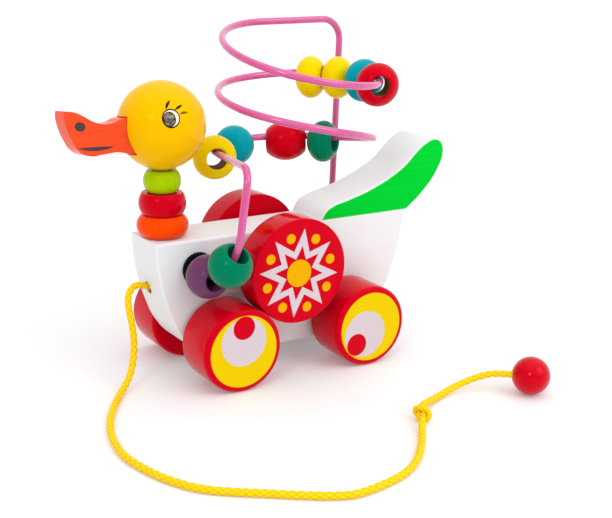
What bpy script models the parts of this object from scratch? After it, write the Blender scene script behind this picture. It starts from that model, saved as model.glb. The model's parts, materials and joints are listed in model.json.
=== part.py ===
"""Pull-along duck with a bead maze: a wooden toy on four wheels, at its real size.

Metres, +Z up.  The duck faces -X and its left side is -Y.  Sizes below are written for a frame on the
floor, midway between the axles, on the body's mid-plane; one empty then moves the whole toy so that the
origin is the bottom centre of its box.
"""
import math

import bmesh
import bpy
from mathutils import Vector

MM = 0.001

# Clearances
TOUCH_GAP = 0.3 * MM
RUNNING_GAP = 0.3 * MM
SIDE_GAP = 1.5 * MM

# Wheels, side discs and axles
WHEEL_DIAMETER = 40.0 * MM
WHEEL_WIDTH = 24.0 * MM
WHEEL_EDGE_ROUND = 2.0 * MM
WHEELBASE = 70.9 * MM
DISC_DIAMETER = 50.2 * MM
DISC_WIDTH = 14.4 * MM
DISC_EDGE_ROUND = 0.8 * MM
LEFT_DISC_BEHIND_FRONT_AXLE = 31.1 * MM
RIGHT_DISC_AHEAD_OF_REAR_AXLE = 32.05 * MM
LEFT_DISC_GAP = 8.3 * MM
RIGHT_DISC_GAP = 5.6 * MM
AXLE_DIAMETER = 8.0 * MM
AXLE_SEAT_DEPTH = 16.0 * MM
PEG_SEAT_DEPTH = 10.0 * MM
PEG_IN_BODY = 11.0 * MM

# Body board
BODY_THICKNESS = 27.0 * MM
BODY_EDGE_ROUND = 1.0 * MM
DECK_ABOVE_AXLE = 48.35 * MM
BELLY_BELOW_DECK = 58.95 * MM
NOSE_X = -67.0 * MM
STERN_X = 72.6 * MM
TAIL_TIP_X = 96.1 * MM
TAIL_TIP_RISE = 35.9 * MM
TAIL_STEP_X = 21.2 * MM
BELLY_FROM_NOSE = 35.0 * MM
BELLY_FROM_STERN = 38.6 * MM
STERN_CORNER_DROP = 0.5 * MM

# Neck and head
NECK_X = -57.0 * MM
NECK_BEAD_HEIGHT = 10.1 * MM
NECK_BEAD_DIAMETERS = (24.0 * MM, 21.9 * MM, 17.4 * MM)
NECK_BEAD_END_DIAMETERS = (18.6 * MM, 18.7 * MM, 13.4 * MM)
NECK_DOWEL_DIAMETER = 8.0 * MM
NECK_DOWEL_IN_BODY = 13.0 * MM
NECK_DOWEL_IN_HEAD = 14.0 * MM
HEAD_DIAMETER = 40.4 * MM

# Beak board
BEAK_THICKNESS = 11.5 * MM
BEAK_EDGE_ROUND = 0.8 * MM
BEAK_LENGTH = 27.4 * MM
BEAK_IN_HEAD = 9.0 * MM
BEAK_BELOW_HEAD = 2.5 * MM
BEAK_ROLL_DEG = 7.0
BEAK_TONGUE_TOP = 7.6 * MM
BEAK_TONGUE_BOTTOM = 9.4 * MM

# Maze wire
WIRE_DIAMETER = 3.5 * MM
WIRE_IN_BODY = 8.0 * MM
SOCKET_DIAMETER = 16.0 * MM
SOCKET_THICKNESS = 1.4 * MM
NEAR_SOCKET = (-46.1 * MM, -13.75 * MM)
NEAR_KNEE_Y = -48.5 * MM
NEAR_KNEE_RADIUS = 22.0 * MM
NEAR_POST_TOP = (-36.6 * MM, -44.0 * MM, 37.65 * MM)
NEAR_TOP_RADIUS = 8.0 * MM
FAR_POST_TOP = (65.6 * MM, 40.0 * MM, 91.9 * MM)
FAR_TOP_RADIUS = 11.0 * MM
FAR_SOCKET = (63.2 * MM, -12.4 * MM)
FAR_KNEE_RADIUS = 14.0 * MM
COIL_X = 12.9 * MM
COIL_RADIUS = 38.4 * MM
COIL_LEAN = 0.09
COIL_LEVELS = (35.0 * MM, 65.7 * MM, 91.85 * MM)
COIL_SLOPES = ((0.010, -0.037), (0.056, -0.015), (0.025, 0.0))
COIL_RISES_DEG = ((144.0, 428.0), (571.0, 802.0))
COIL_STEP_DEG = 12.0

# Maze beads
BEAD_BORE = 9.8 * MM
BEAD_FACE_RING = 0.9 * MM
BEAD_HANG = 2.5 * MM
ROUND_BEAD = (20.2 * MM, 20.2 * MM)
LONG_BEAD = (20.2 * MM, 24.2 * MM)
FLAT_BEAD = (21.2 * MM, 15.8 * MM)
STUB_BEAD_HANG = 1.2 * MM
FIRST_BEAD_DEG = 17.0
SECOND_BEAD_DEG = 72.0
THIRD_BEAD_DEG = 116.5
UPPER_ROW_DEG = 491.0
UPPER_PAIR_DEG = 21.6
UPPER_PAIR_TURN_DEG = 6.0

# Pull cord
CORD_DIAMETER = 3.3 * MM
CORD_HOLE_DIAMETER = 6.0 * MM
CORD_HOLE_DEPTH = 6.0 * MM
CORD_HOLE_BELOW_DECK = 25.0 * MM
CORD_HOLE_Y = 2.5 * MM
CORD_LIFT_IN_HOLE = 0.6 * MM
KNOT_LENGTH = 9.0 * MM
KNOT_HEIGHT = 6.6 * MM
BALL_DIAMETER = 17.9 * MM
BALL_HOLE_DIAMETER = 4.4 * MM
BALL_HOLE_DEPTH = 7.0 * MM
FLOOR_GAP = 0.05 * MM
LEAD_SPACING = 2.8 * CORD_DIAMETER
TAIL_SPACING = 2.0 * CORD_DIAMETER

# Heights and places that follow from the sizes above
AXLE_Z = WHEEL_DIAMETER / 2
DECK_Z = AXLE_Z + DECK_ABOVE_AXLE
SIDE_Y = BODY_THICKNESS / 2
FRONT_AXLE_X = -WHEELBASE / 2
REAR_AXLE_X = WHEELBASE / 2
DISC_REACH = (WHEEL_DIAMETER + DISC_DIAMETER) / 2 + TOUCH_GAP
NECK_BORE = NECK_DOWEL_DIAMETER / 2 + RUNNING_GAP
NECK_TOP_Z = DECK_Z + 3 * NECK_BEAD_HEIGHT + 4 * TOUCH_GAP
HEAD_Z = NECK_TOP_Z + math.sqrt((HEAD_DIAMETER / 2) ** 2 - NECK_BORE ** 2)
HEAD_FRONT_X = NECK_X - HEAD_DIAMETER / 2
WIRE_RADIUS = WIRE_DIAMETER / 2

COLOURS = {
    "white": (0.86, 0.85, 0.83),
    "red": (0.72, 0.012, 0.04),
    "yellow": (0.95, 0.62, 0.01),
    "orange": (0.93, 0.17, 0.02),
    "lime": (0.45, 0.72, 0.03),
    "pink": (0.85, 0.16, 0.42),
    "purple": (0.18, 0.05, 0.22),
    "green": (0.0, 0.20, 0.09),
    "teal": (0.0, 0.22, 0.36),
    "black": (0.01, 0.01, 0.01),
    "birch": (0.72, 0.52, 0.30),
    "cord_yellow": (0.95, 0.60, 0.02),
}
TURNED_STEPS = 28
BEAD_STEPS = 18

# Handle types of an outline point: towards the point before it and the point after it
CURVED = ("AUTO", "AUTO")
CORNER = ("VECTOR", "VECTOR")
TO_STRAIGHT = ("AUTO", "VECTOR")
TO_CURVE = ("VECTOR", "AUTO")


def clear_scene():
    for old in list(bpy.data.objects):
        bpy.data.objects.remove(old, do_unlink=True)


def collection(name):
    group = bpy.data.collections.new(name)
    bpy.context.scene.collection.children.link(group)
    return group


def empty(name, place, group, parent=None):
    guide = bpy.data.objects.new(name, None)
    group.objects.link(guide)
    guide.parent = parent
    guide.location = place
    return guide


def paint(name):
    found = bpy.data.materials.get(name)
    if found:
        return found
    made = bpy.data.materials.new(name)
    made.use_nodes = True
    shader = made.node_tree.nodes["Principled BSDF"]
    shader.inputs["Base Color"].default_value = (*COLOURS[name], 1.0)
    shader.inputs["Roughness"].default_value = 0.75 if name in ("birch", "cord_yellow") else 0.3
    shader.inputs["Metallic"].default_value = 0.0
    return made


def add_object(name, data, colour, parent, group):
    piece = bpy.data.objects.new(name, data)
    group.objects.link(piece)
    piece.parent = parent
    data.materials.append(paint(colour))
    return piece


def shade_round(mesh):
    mesh.shade_smooth()
    mesh.set_sharp_from_angle(angle=math.radians(40))


def arc(centre_r, centre_z, half_r, half_z, start_deg, end_deg, steps):
    """Points on an ellipse in the profile plane, as (radius, height)."""
    points = []
    for i in range(steps + 1):
        t = math.radians(start_deg + (end_deg - start_deg) * i / steps)
        points.append((centre_r + half_r * math.cos(t), centre_z + half_z * math.sin(t)))
    return points


def turned(name, profile, closed, steps, colour, parent, group):
    """A turned piece: a profile of (radius, height) swept round local Z by a Screw modifier."""
    mesh = bpy.data.meshes.new(name)
    edges = [(i, i + 1) for i in range(len(profile) - 1)]
    if closed:
        edges.append((len(profile) - 1, 0))
    mesh.from_pydata([(r, 0.0, z) for r, z in profile], edges, [])
    piece = add_object(name, mesh, colour, parent, group)
    screw = piece.modifiers.new("turn", "SCREW")
    screw.axis = "Z"
    screw.steps = steps
    screw.render_steps = steps
    screw.use_merge_vertices = True
    screw.merge_threshold = 0.01 * MM
    screw.use_smooth_shade = True
    return piece


def cylinder(name, radius, start, end, colour, parent, group, sides=24):
    """A plain dowel or drill between two points."""
    axis = Vector(end) - Vector(start)
    mesh = bpy.data.meshes.new(name)
    shape = bmesh.new()
    bmesh.ops.create_cone(shape, cap_ends=True, segments=sides, radius1=radius, radius2=radius,
                          depth=axis.length)
    shape.to_mesh(mesh)
    shape.free()
    shade_round(mesh)
    piece = add_object(name, mesh, colour, parent, group)
    piece.rotation_mode = "QUATERNION"
    piece.rotation_quaternion = axis.to_track_quat("Z", "Y")
    piece.location = (Vector(start) + Vector(end)) / 2
    return piece


def board(name, outline, thickness, edge_round, grow, colour, parent, group):
    """A flat board in the XZ plane from a 2D curve; each outline point is (x, z, its two handle types)."""
    curve = bpy.data.curves.new(name + "_outline", "CURVE")
    curve.dimensions = "2D"
    curve.fill_mode = "BOTH"
    curve.resolution_u = 4
    curve.bevel_depth = edge_round
    curve.bevel_resolution = 1
    curve.extrude = thickness / 2 - edge_round
    curve.offset = grow - edge_round
    spline = curve.splines.new("BEZIER")
    spline.use_cyclic_u = True
    spline.bezier_points.add(len(outline) - 1)
    for point, (x, z, handles) in zip(spline.bezier_points, outline):
        point.co = (x, z, 0.0)
        point.handle_left_type, point.handle_right_type = handles
    flat = bpy.data.objects.new(name + "_outline", curve)
    group.objects.link(flat)
    bpy.context.view_layer.update()
    mesh = bpy.data.meshes.new_from_object(flat.evaluated_get(bpy.context.evaluated_depsgraph_get()))
    bpy.data.objects.remove(flat)
    weld(mesh)
    mesh.materials.clear()
    piece = add_object(name, mesh, colour, parent, group)
    piece.rotation_euler = (math.pi / 2, 0.0, 0.0)
    return piece


def weld(mesh):
    shape = bmesh.new()
    shape.from_mesh(mesh)
    bmesh.ops.remove_doubles(shape, verts=shape.verts, dist=0.005 * MM)
    bmesh.ops.recalc_face_normals(shape, faces=shape.faces)
    shape.to_mesh(mesh)
    shape.free()


def cut(piece, cutter):
    hole = piece.modifiers.new("cut_" + cutter.name, "BOOLEAN")
    hole.operation = "DIFFERENCE"
    hole.solver = "EXACT"
    hole.object = cutter
    cutter.hide_render = True
    cutter.display_type = "WIRE"


def tube(name, points, radius, colour, parent, group):
    """A round tube along a list of points."""
    curve = bpy.data.curves.new(name, "CURVE")
    curve.dimensions = "3D"
    curve.bevel_depth = radius
    curve.bevel_resolution = 2
    curve.use_fill_caps = True
    spline = curve.splines.new("POLY")
    spline.points.add(len(points) - 1)
    for point, place in zip(spline.points, points):
        point.co = (*place, 1.0)
    return add_object(name, curve, colour, parent, group)


def wheel_profile(diameter, width, edge_round, seat_depth):
    """A solid wheel with a blind seat for its axle; local +Z is the outer face."""
    radius = diameter / 2
    half = width / 2
    seat = AXLE_DIAMETER / 2 + TOUCH_GAP
    profile = [(0.0, half)]
    profile += arc(radius - edge_round, half - edge_round, edge_round, edge_round, 90, 0, 3)
    profile += arc(radius - edge_round, edge_round - half, edge_round, edge_round, 0, -90, 3)
    profile += [(seat, -half), (seat, seat_depth - half), (0.0, seat_depth - half)]
    return profile


def place_wheel(name, profile, width, inner_y, sign, hub, group):
    """A turned wheel on the left (-1) or right (+1) of the body, with its inner face at inner_y."""
    wheel = turned(name, profile, False, TURNED_STEPS, "red", hub, group)
    wheel.location = (0.0, sign * (inner_y + width / 2), 0.0)
    wheel.rotation_euler = (-sign * math.pi / 2, 0.0, 0.0)


def add_wheel_pair(name, x, parent, group):
    """An axle through the body with a turned wheel on each end."""
    hub = empty(name + "_wheel_spin", (x, 0.0, AXLE_Z), group, parent)
    profile = wheel_profile(WHEEL_DIAMETER, WHEEL_WIDTH, WHEEL_EDGE_ROUND, AXLE_SEAT_DEPTH)
    inner_y = SIDE_Y + SIDE_GAP
    for side, sign in (("left", -1), ("right", 1)):
        place_wheel(f"{name}_wheel_{side}", profile, WHEEL_WIDTH, inner_y, sign, hub, group)
    reach = inner_y + AXLE_SEAT_DEPTH - TOUCH_GAP
    cylinder(name + "_axle", AXLE_DIAMETER / 2, (0, -reach, 0), (0, reach, 0), "birch", hub, group)


def side_disc_places():
    """Each side disc's side and sign, its axis (x, z) and its gap to the body.

    The left disc rests on the front wheel and the right one on the rear wheel, which turn them.
    """
    places = []
    for side, sign, axle_x, offset, gap in (
            ("left", -1, FRONT_AXLE_X, LEFT_DISC_BEHIND_FRONT_AXLE, LEFT_DISC_GAP),
            ("right", 1, REAR_AXLE_X, -RIGHT_DISC_AHEAD_OF_REAR_AXLE, RIGHT_DISC_GAP)):
        places.append((side, sign, axle_x + offset, AXLE_Z + math.sqrt(DISC_REACH ** 2 - offset ** 2), gap))
    return places


def add_side_discs(parent, group):
    """A disc on each flank, on its own peg that turns in a blind hole in the body."""
    profile = wheel_profile(DISC_DIAMETER, DISC_WIDTH, DISC_EDGE_ROUND, PEG_SEAT_DEPTH)
    for side, sign, x, z, gap in side_disc_places():
        hub = empty(f"side_disc_{side}_spin", (x, 0.0, z), group, parent)
        inner_y = SIDE_Y + gap
        place_wheel("side_disc_" + side, profile, DISC_WIDTH, inner_y, sign, hub, group)
        root = sign * (SIDE_Y - PEG_IN_BODY)
        end = sign * (inner_y + PEG_SEAT_DEPTH - TOUCH_GAP)
        cylinder("disc_peg_" + side, AXLE_DIAMETER / 2, (0, root, 0), (0, end, 0), "birch", hub, group)


def body_outline():
    """The duck's side view: flat deck, round bow and stern, and the raised tail."""
    belly = DECK_Z - BELLY_BELOW_DECK
    tip = DECK_Z + TAIL_TIP_RISE
    bow = [(0.5, -9.0), (2.7, -21.8), (6.1, -33.0), (11.4, -44.5), (19.9, -53.6)]
    stern = [(-21.6, -51.5), (-10.0, -37.2), (-5.5, -25.5), (-2.4, -13.8)]
    tail_under = [(-12.4, -27.6), (-3.6, -17.1), (0.0, -6.7), (-2.0, -1.8)]
    tail_over = [(-6.1, 0.0), (-12.4, -1.9), (-27.1, -13.6), (-45.4, -22.2), (-58.4, -26.0)]
    step = [(7.3, 7.6), (3.2, 5.2)]
    points = [(NOSE_X, DECK_Z, CORNER)]
    points += [(NOSE_X + dx * MM, DECK_Z + dz * MM, CURVED) for dx, dz in bow]
    points += [(NOSE_X + BELLY_FROM_NOSE, belly, TO_STRAIGHT), (STERN_X - BELLY_FROM_STERN, belly, TO_CURVE)]
    points += [(STERN_X + dx * MM, DECK_Z + dz * MM, CURVED) for dx, dz in stern]
    points += [(STERN_X, DECK_Z - STERN_CORNER_DROP, CORNER)]
    points += [(TAIL_TIP_X + dx * MM, tip + dz * MM, CURVED) for dx, dz in tail_under + tail_over]
    points += [(TAIL_STEP_X + dx * MM, DECK_Z + dz * MM, CURVED) for dx, dz in step]
    points += [(TAIL_STEP_X, DECK_Z, CORNER)]
    return points


def bow_x(z):
    """The x of the bow's curved front face at a height, between the outline points round the cord hole."""
    upper, lower = (2.7, -21.8), (6.1, -33.0)
    depth = (z - DECK_Z) / MM
    share = (depth - upper[1]) / (lower[1] - upper[1])
    return NOSE_X + (upper[0] + share * (lower[0] - upper[0])) * MM


def add_body(parent, group, cutters):
    plank = board("body_plank", body_outline(), BODY_THICKNESS, BODY_EDGE_ROUND, 0.0, "white", parent, group)
    through = SIDE_Y + SIDE_GAP
    bore = AXLE_DIAMETER / 2 + RUNNING_GAP
    for name, x in (("front", FRONT_AXLE_X), ("rear", REAR_AXLE_X)):
        cut(plank, cylinder(f"{name}_axle_drill", bore, (x, -through, AXLE_Z), (x, through, AXLE_Z), "birch",
                            parent, cutters))
    for side, sign, x, z, _ in side_disc_places():
        blind_end = sign * (SIDE_Y - PEG_IN_BODY - TOUCH_GAP)
        cut(plank, cylinder(f"{side}_peg_drill", bore, (x, blind_end, z), (x, sign * through, z), "birch",
                            parent, cutters))
    neck_floor = DECK_Z - NECK_DOWEL_IN_BODY - TOUCH_GAP
    cut(plank, cylinder("neck_drill", NECK_DOWEL_DIAMETER / 2 + TOUCH_GAP, (NECK_X, 0, neck_floor),
                        (NECK_X, 0, DECK_Z + SIDE_GAP), "birch", parent, cutters))
    for name, (x, z), sign in (("near", NEAR_SOCKET, -1), ("far", FAR_SOCKET, 1)):
        inside = (x, sign * (SIDE_Y - WIRE_IN_BODY - TOUCH_GAP), DECK_Z + z)
        outside = (x, sign * through, DECK_Z + z)
        cut(plank, cylinder(f"{name}_wire_drill", WIRE_RADIUS + TOUCH_GAP, inside, outside, "birch",
                            parent, cutters, 16))
    hole_z = DECK_Z - CORD_HOLE_BELOW_DECK
    mouth_x = bow_x(hole_z)
    cut(plank, cylinder("cord_drill", CORD_HOLE_DIAMETER / 2, (mouth_x - 2 * SIDE_GAP, CORD_HOLE_Y, hole_z),
                        (mouth_x + CORD_HOLE_DEPTH, CORD_HOLE_Y, hole_z), "birch", parent, cutters, 16))


def neck_bead_profile(diameter, end_diameter):
    """A bored bead with flat ends and a side that bulges in a circular arc."""
    half = NECK_BEAD_HEIGHT / 2
    bulge = (diameter - end_diameter) / 2
    radius = (half ** 2 + bulge ** 2) / (2 * bulge)
    reach_deg = math.degrees(math.asin(half / radius))
    profile = arc(diameter / 2 - radius, 0.0, radius, radius, reach_deg, -reach_deg, 8)
    return profile + [(NECK_BORE, -half), (NECK_BORE, half)]


def add_neck_and_head(parent, group, cutters):
    cylinder("neck_dowel", NECK_DOWEL_DIAMETER / 2, (NECK_X, 0, DECK_Z - NECK_DOWEL_IN_BODY),
             (NECK_X, 0, NECK_TOP_Z + NECK_DOWEL_IN_HEAD), "birch", parent, group)
    for i, (name, colour) in enumerate((("lower", "orange"), ("middle", "red"), ("upper", "lime"))):
        profile = neck_bead_profile(NECK_BEAD_DIAMETERS[i], NECK_BEAD_END_DIAMETERS[i])
        bead = turned("neck_bead_" + name, profile, True, BEAD_STEPS + 4, colour, parent, group)
        lift = (i + 0.5) * NECK_BEAD_HEIGHT + (i + 1) * TOUCH_GAP
        bead.location = (NECK_X, 0.0, DECK_Z + lift)
    mesh = bpy.data.meshes.new("head_ball")
    shape = bmesh.new()
    bmesh.ops.create_uvsphere(shape, u_segments=28, v_segments=16, radius=HEAD_DIAMETER / 2)
    shape.to_mesh(mesh)
    shape.free()
    mesh.shade_smooth()
    head = add_object("head_ball", mesh, "yellow", parent, group)
    head.location = (NECK_X, 0.0, HEAD_Z)
    seat_top = NECK_TOP_Z + NECK_DOWEL_IN_HEAD + TOUCH_GAP
    cut(head, cylinder("head_drill", NECK_DOWEL_DIAMETER / 2 + TOUCH_GAP, (NECK_X, 0, NECK_TOP_Z - SIDE_GAP),
                       (NECK_X, 0, seat_top), "birch", parent, cutters))
    outline = beak_outline()
    beak = board("beak", outline, BEAK_THICKNESS, BEAK_EDGE_ROUND, 0.0, "orange", parent, group)
    slot = board("beak_slot", outline, BEAK_THICKNESS + 2 * TOUCH_GAP, BEAK_EDGE_ROUND, TOUCH_GAP, "orange",
                 parent, cutters)
    for piece in (beak, slot):
        piece.location = (0.0, 0.0, HEAD_Z - BEAK_BELOW_HEAD)
        piece.rotation_euler.x -= math.radians(BEAK_ROLL_DEG)
    cut(head, slot)


def beak_outline():
    """The beak's side view about its own axis, from its tongue in the head round the upturned tip."""
    tip_x = HEAD_FRONT_X - BEAK_LENGTH
    root_x = HEAD_FRONT_X + BEAK_IN_HEAD
    upper = [(26.9, 7.2), (22.4, 5.6), (17.8, 5.4), (12.7, 6.95), (8.8, 9.4), (4.4, 11.4)]
    tip = (0.3, 12.0)
    lower = [(0.0, 9.2), (0.6, 5.5), (2.9, -1.0), (6.2, -6.0), (11.0, -8.15), (16.5, -7.85), (24.7, -7.5),
             (30.1, -8.9)]
    points = [(root_x, BEAK_TONGUE_TOP, CORNER)]
    points += [(tip_x + dx * MM, dz * MM, CURVED) for dx, dz in upper]
    points += [(tip_x + tip[0] * MM, tip[1] * MM, CORNER)]
    points += [(tip_x + dx * MM, dz * MM, CURVED) for dx, dz in lower]
    points += [(root_x, -BEAK_TONGUE_BOTTOM, CORNER)]
    return points


def smooth_step(share):
    share = min(max(share, 0.0), 1.0)
    return share * share * (3.0 - 2.0 * share)


def coil_point(angle_deg):
    """The maze coil: nearly level turns at the back, joined by rises at the front.

    The angle is 0 at the front (-X) and grows through +Y, so one turn is 360 degrees.
    """
    turn = math.radians(angle_deg)
    x = -COIL_RADIUS * math.cos(turn)
    y = COIL_RADIUS * math.sin(turn)
    heights = [level + along * x + across * y for level, (along, across) in zip(COIL_LEVELS, COIL_SLOPES)]
    z = heights[0]
    for i, (start, end) in enumerate(COIL_RISES_DEG):
        z += smooth_step((angle_deg - start) / (end - start)) * (heights[i + 1] - heights[i])
    centre_x = COIL_X + COIL_LEAN * (z - COIL_LEVELS[0])
    return Vector((centre_x + x, y, DECK_Z + z))


def coil_tangent(angle_deg):
    return (coil_point(angle_deg + 0.5) - coil_point(angle_deg - 0.5)).normalized()


def tangent_angle(post, level, sign):
    """The coil angle where a level line from a post meets the coil without a kink."""
    dx = post[0] - (COIL_X + COIL_LEAN * (level - COIL_LEVELS[0]))
    reach = math.hypot(dx, post[1])
    return math.degrees(math.atan2(post[1], -dx) + sign * math.acos(COIL_RADIUS / reach))


def rounded_corner(before, corner, after, radius, steps):
    """Points on the arc that rounds one corner of a path, with the arc's centre."""
    back = (before - corner).normalized()
    ahead = (after - corner).normalized()
    half = back.angle(ahead) / 2
    centre = corner + (back + ahead).normalized() * radius / math.sin(half)
    start = corner + back * radius / math.tan(half) - centre
    end = corner + ahead * radius / math.tan(half) - centre
    swing = start.angle(end)
    points = []
    for i in range(steps + 1):
        share = i / steps
        weight_start = math.sin((1 - share) * swing) / math.sin(swing)
        weight_end = math.sin(share * swing) / math.sin(swing)
        points.append(centre + start * weight_start + end * weight_end)
    return points


def near_corners():
    """Corner points of the wire's near side: in the body, at the knee and at the top of the post."""
    x, z = NEAR_SOCKET
    start = Vector((x, -(SIDE_Y - WIRE_IN_BODY), DECK_Z + z))
    knee = Vector((x, NEAR_KNEE_Y, DECK_Z + z))
    top = Vector((NEAR_POST_TOP[0], NEAR_POST_TOP[1], DECK_Z + NEAR_POST_TOP[2]))
    return start, knee, top


def wire_points():
    """The centre line of the maze wire, from the left flank to the right flank."""
    start, knee, top = near_corners()
    x, z = FAR_SOCKET
    far_top = Vector((FAR_POST_TOP[0], FAR_POST_TOP[1], DECK_Z + FAR_POST_TOP[2]))
    far_knee = Vector((x, FAR_POST_TOP[1], DECK_Z + z))
    end = Vector((x, SIDE_Y - WIRE_IN_BODY, DECK_Z + z))
    first = tangent_angle(NEAR_POST_TOP, COIL_LEVELS[0], 1)
    last = 720.0 + tangent_angle(FAR_POST_TOP, COIL_LEVELS[-1], -1)
    turns = max(1, round((last - first) / COIL_STEP_DEG))
    coil = [coil_point(first + (last - first) * i / turns) for i in range(turns + 1)]
    points = [start]
    points += rounded_corner(start, knee, top, NEAR_KNEE_RADIUS, 8)
    points += rounded_corner(knee, top, coil[0], NEAR_TOP_RADIUS, 6)
    points += coil
    points += rounded_corner(coil[-1], far_top, far_knee, FAR_TOP_RADIUS, 6)
    points += rounded_corner(far_top, far_knee, end, FAR_KNEE_RADIUS, 7)
    points.append(end)
    return points


def bead_half_length(kind):
    diameter, bulge = kind
    face = BEAD_BORE / 2 + BEAD_FACE_RING
    return bulge / 2 * math.sqrt(1.0 - (2 * face / diameter) ** 2)


def bead_profile(kind):
    """A bored bead: an oval in section, with a small flat ring round each mouth of the bore."""
    diameter, bulge = kind
    bore = BEAD_BORE / 2
    face = bore + BEAD_FACE_RING
    half = bead_half_length(kind)
    edge_deg = math.degrees(math.acos(2 * face / diameter))
    profile = arc(0.0, 0.0, diameter / 2, bulge / 2, edge_deg, -edge_deg, 7)
    lip = BEAD_FACE_RING * 0.6
    return profile + [(bore, lip - half), (bore, half - lip)]


def bead_reach_deg(kind):
    """The angle on the coil from a bead's middle to the inner edge of its end face."""
    face = BEAD_BORE / 2 + BEAD_FACE_RING
    return math.degrees(math.atan((bead_half_length(kind) + TOUCH_GAP) / (COIL_RADIUS - face)))


def place_bead(name, kind, colour, place, direction, parent, group):
    bead = turned(name, bead_profile(kind), True, BEAD_STEPS, colour, parent, group)
    bead.rotation_mode = "QUATERNION"
    bead.rotation_quaternion = direction.to_track_quat("Z", "Y")
    bead.location = place


def hung(place, direction):
    """Where a loose bead's middle is when its bore hangs on the wire at a place."""
    down = Vector((0.0, 0.0, -1.0))
    down = (down - direction * down.dot(direction)).normalized()
    return place + down * BEAD_HANG


def stub_bead_place():
    """The first bead rests against the black ring on the body and hangs a little off the wire's middle."""
    start = near_corners()[0]
    out = SIDE_Y + SOCKET_THICKNESS + 2 * TOUCH_GAP + bead_half_length(ROUND_BEAD)
    return Vector((start.x, -out, start.z - STUB_BEAD_HANG))


def knee_bead_place():
    """The first place on the wire's knee where the second bead clears the first, and the wire's direction."""
    neighbour = stub_bead_place()
    bend = rounded_corner(*near_corners(), NEAR_KNEE_RADIUS, 200)
    at = 1
    while at < len(bend) - 2 and (bend[at] - neighbour).length < ROUND_BEAD[0] + TOUCH_GAP:
        at += 1
    return bend[at], (bend[at + 1] - bend[at - 1]).normalized()


def add_maze(parent, group):
    tube("maze_wire", wire_points(), WIRE_RADIUS, "pink", parent, group)
    hole = WIRE_RADIUS + TOUCH_GAP
    half = SOCKET_THICKNESS / 2
    ring = [(hole, half), (SOCKET_DIAMETER / 2 - half, half), (SOCKET_DIAMETER / 2, -half), (hole, -half)]
    for side, (x, z), sign in (("left", NEAR_SOCKET, -1), ("right", FAR_SOCKET, 1)):
        socket = turned("wire_socket_" + side, ring, True, BEAD_STEPS, "black", parent, group)
        socket.location = (x, sign * (SIDE_Y + TOUCH_GAP + half), DECK_Z + z)
        socket.rotation_euler = (-sign * math.pi / 2, 0.0, 0.0)

    outward = Vector((0.0, -1.0, 0.0))
    place_bead("maze_bead_01", ROUND_BEAD, "purple", stub_bead_place(), outward, parent, group)
    place_bead("maze_bead_02", ROUND_BEAD, "green", *knee_bead_place(), parent, group)
    for number, kind, colour, angle, axis_angle in coil_beads():
        direction = coil_tangent(axis_angle)
        place_bead("maze_bead_" + number, kind, colour, hung(coil_point(angle), direction), direction,
                   parent, group)


def coil_beads():
    """The beads on the coil: number, kind, colour, the angle where each hangs and the angle of its axis.

    The two yellow beads lean together, so their axes are turned towards each other.
    """
    touching = bead_reach_deg(LONG_BEAD) + bead_reach_deg(FLAT_BEAD)
    beads = [("03", FLAT_BEAD, "yellow", FIRST_BEAD_DEG), ("04", ROUND_BEAD, "teal", SECOND_BEAD_DEG),
             ("05", LONG_BEAD, "red", THIRD_BEAD_DEG), ("06", FLAT_BEAD, "green", THIRD_BEAD_DEG + touching)]
    beads = [bead + (bead[3],) for bead in beads]
    second = UPPER_ROW_DEG + UPPER_PAIR_DEG
    beads += [("07", FLAT_BEAD, "yellow", UPPER_ROW_DEG, UPPER_ROW_DEG + UPPER_PAIR_TURN_DEG),
              ("08", FLAT_BEAD, "yellow", second, second - UPPER_PAIR_TURN_DEG)]
    for number, colour, place in (("09", "teal", 2), ("10", "red", 3)):
        angle = UPPER_ROW_DEG + 2 * place * bead_reach_deg(FLAT_BEAD)
        beads.append((number, FLAT_BEAD, colour, angle, angle))
    return beads


def smooth_route(points, spacing):
    """Evenly spaced points on a Catmull-Rom curve through hand-chosen route points."""
    ends = [points[0] * 2 - points[1]] + points + [points[-1] * 2 - points[-2]]
    fine = []
    for a, b, c, d in zip(ends, ends[1:], ends[2:], ends[3:]):
        for i in range(40):
            t = i / 40
            fine.append(0.5 * (2 * b + (c - a) * t + (2 * a - 5 * b + 4 * c - d) * t * t
                               + (3 * b - a - 3 * c + d) * t ** 3))
    fine.append(points[-1])
    length = sum((q - p).length for p, q in zip(fine, fine[1:]))
    count = max(2, round(length / spacing))
    route, walked, target = [fine[0]], 0.0, length / count
    for p, q in zip(fine, fine[1:]):
        step = (q - p).length
        while len(route) < count and walked + step >= target * len(route):
            route.append(p.lerp(q, (target * len(route) - walked) / step))
        walked += step
    return route + [fine[-1]]


def millimetres(points):
    return [Vector(point) * MM for point in points]


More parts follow.
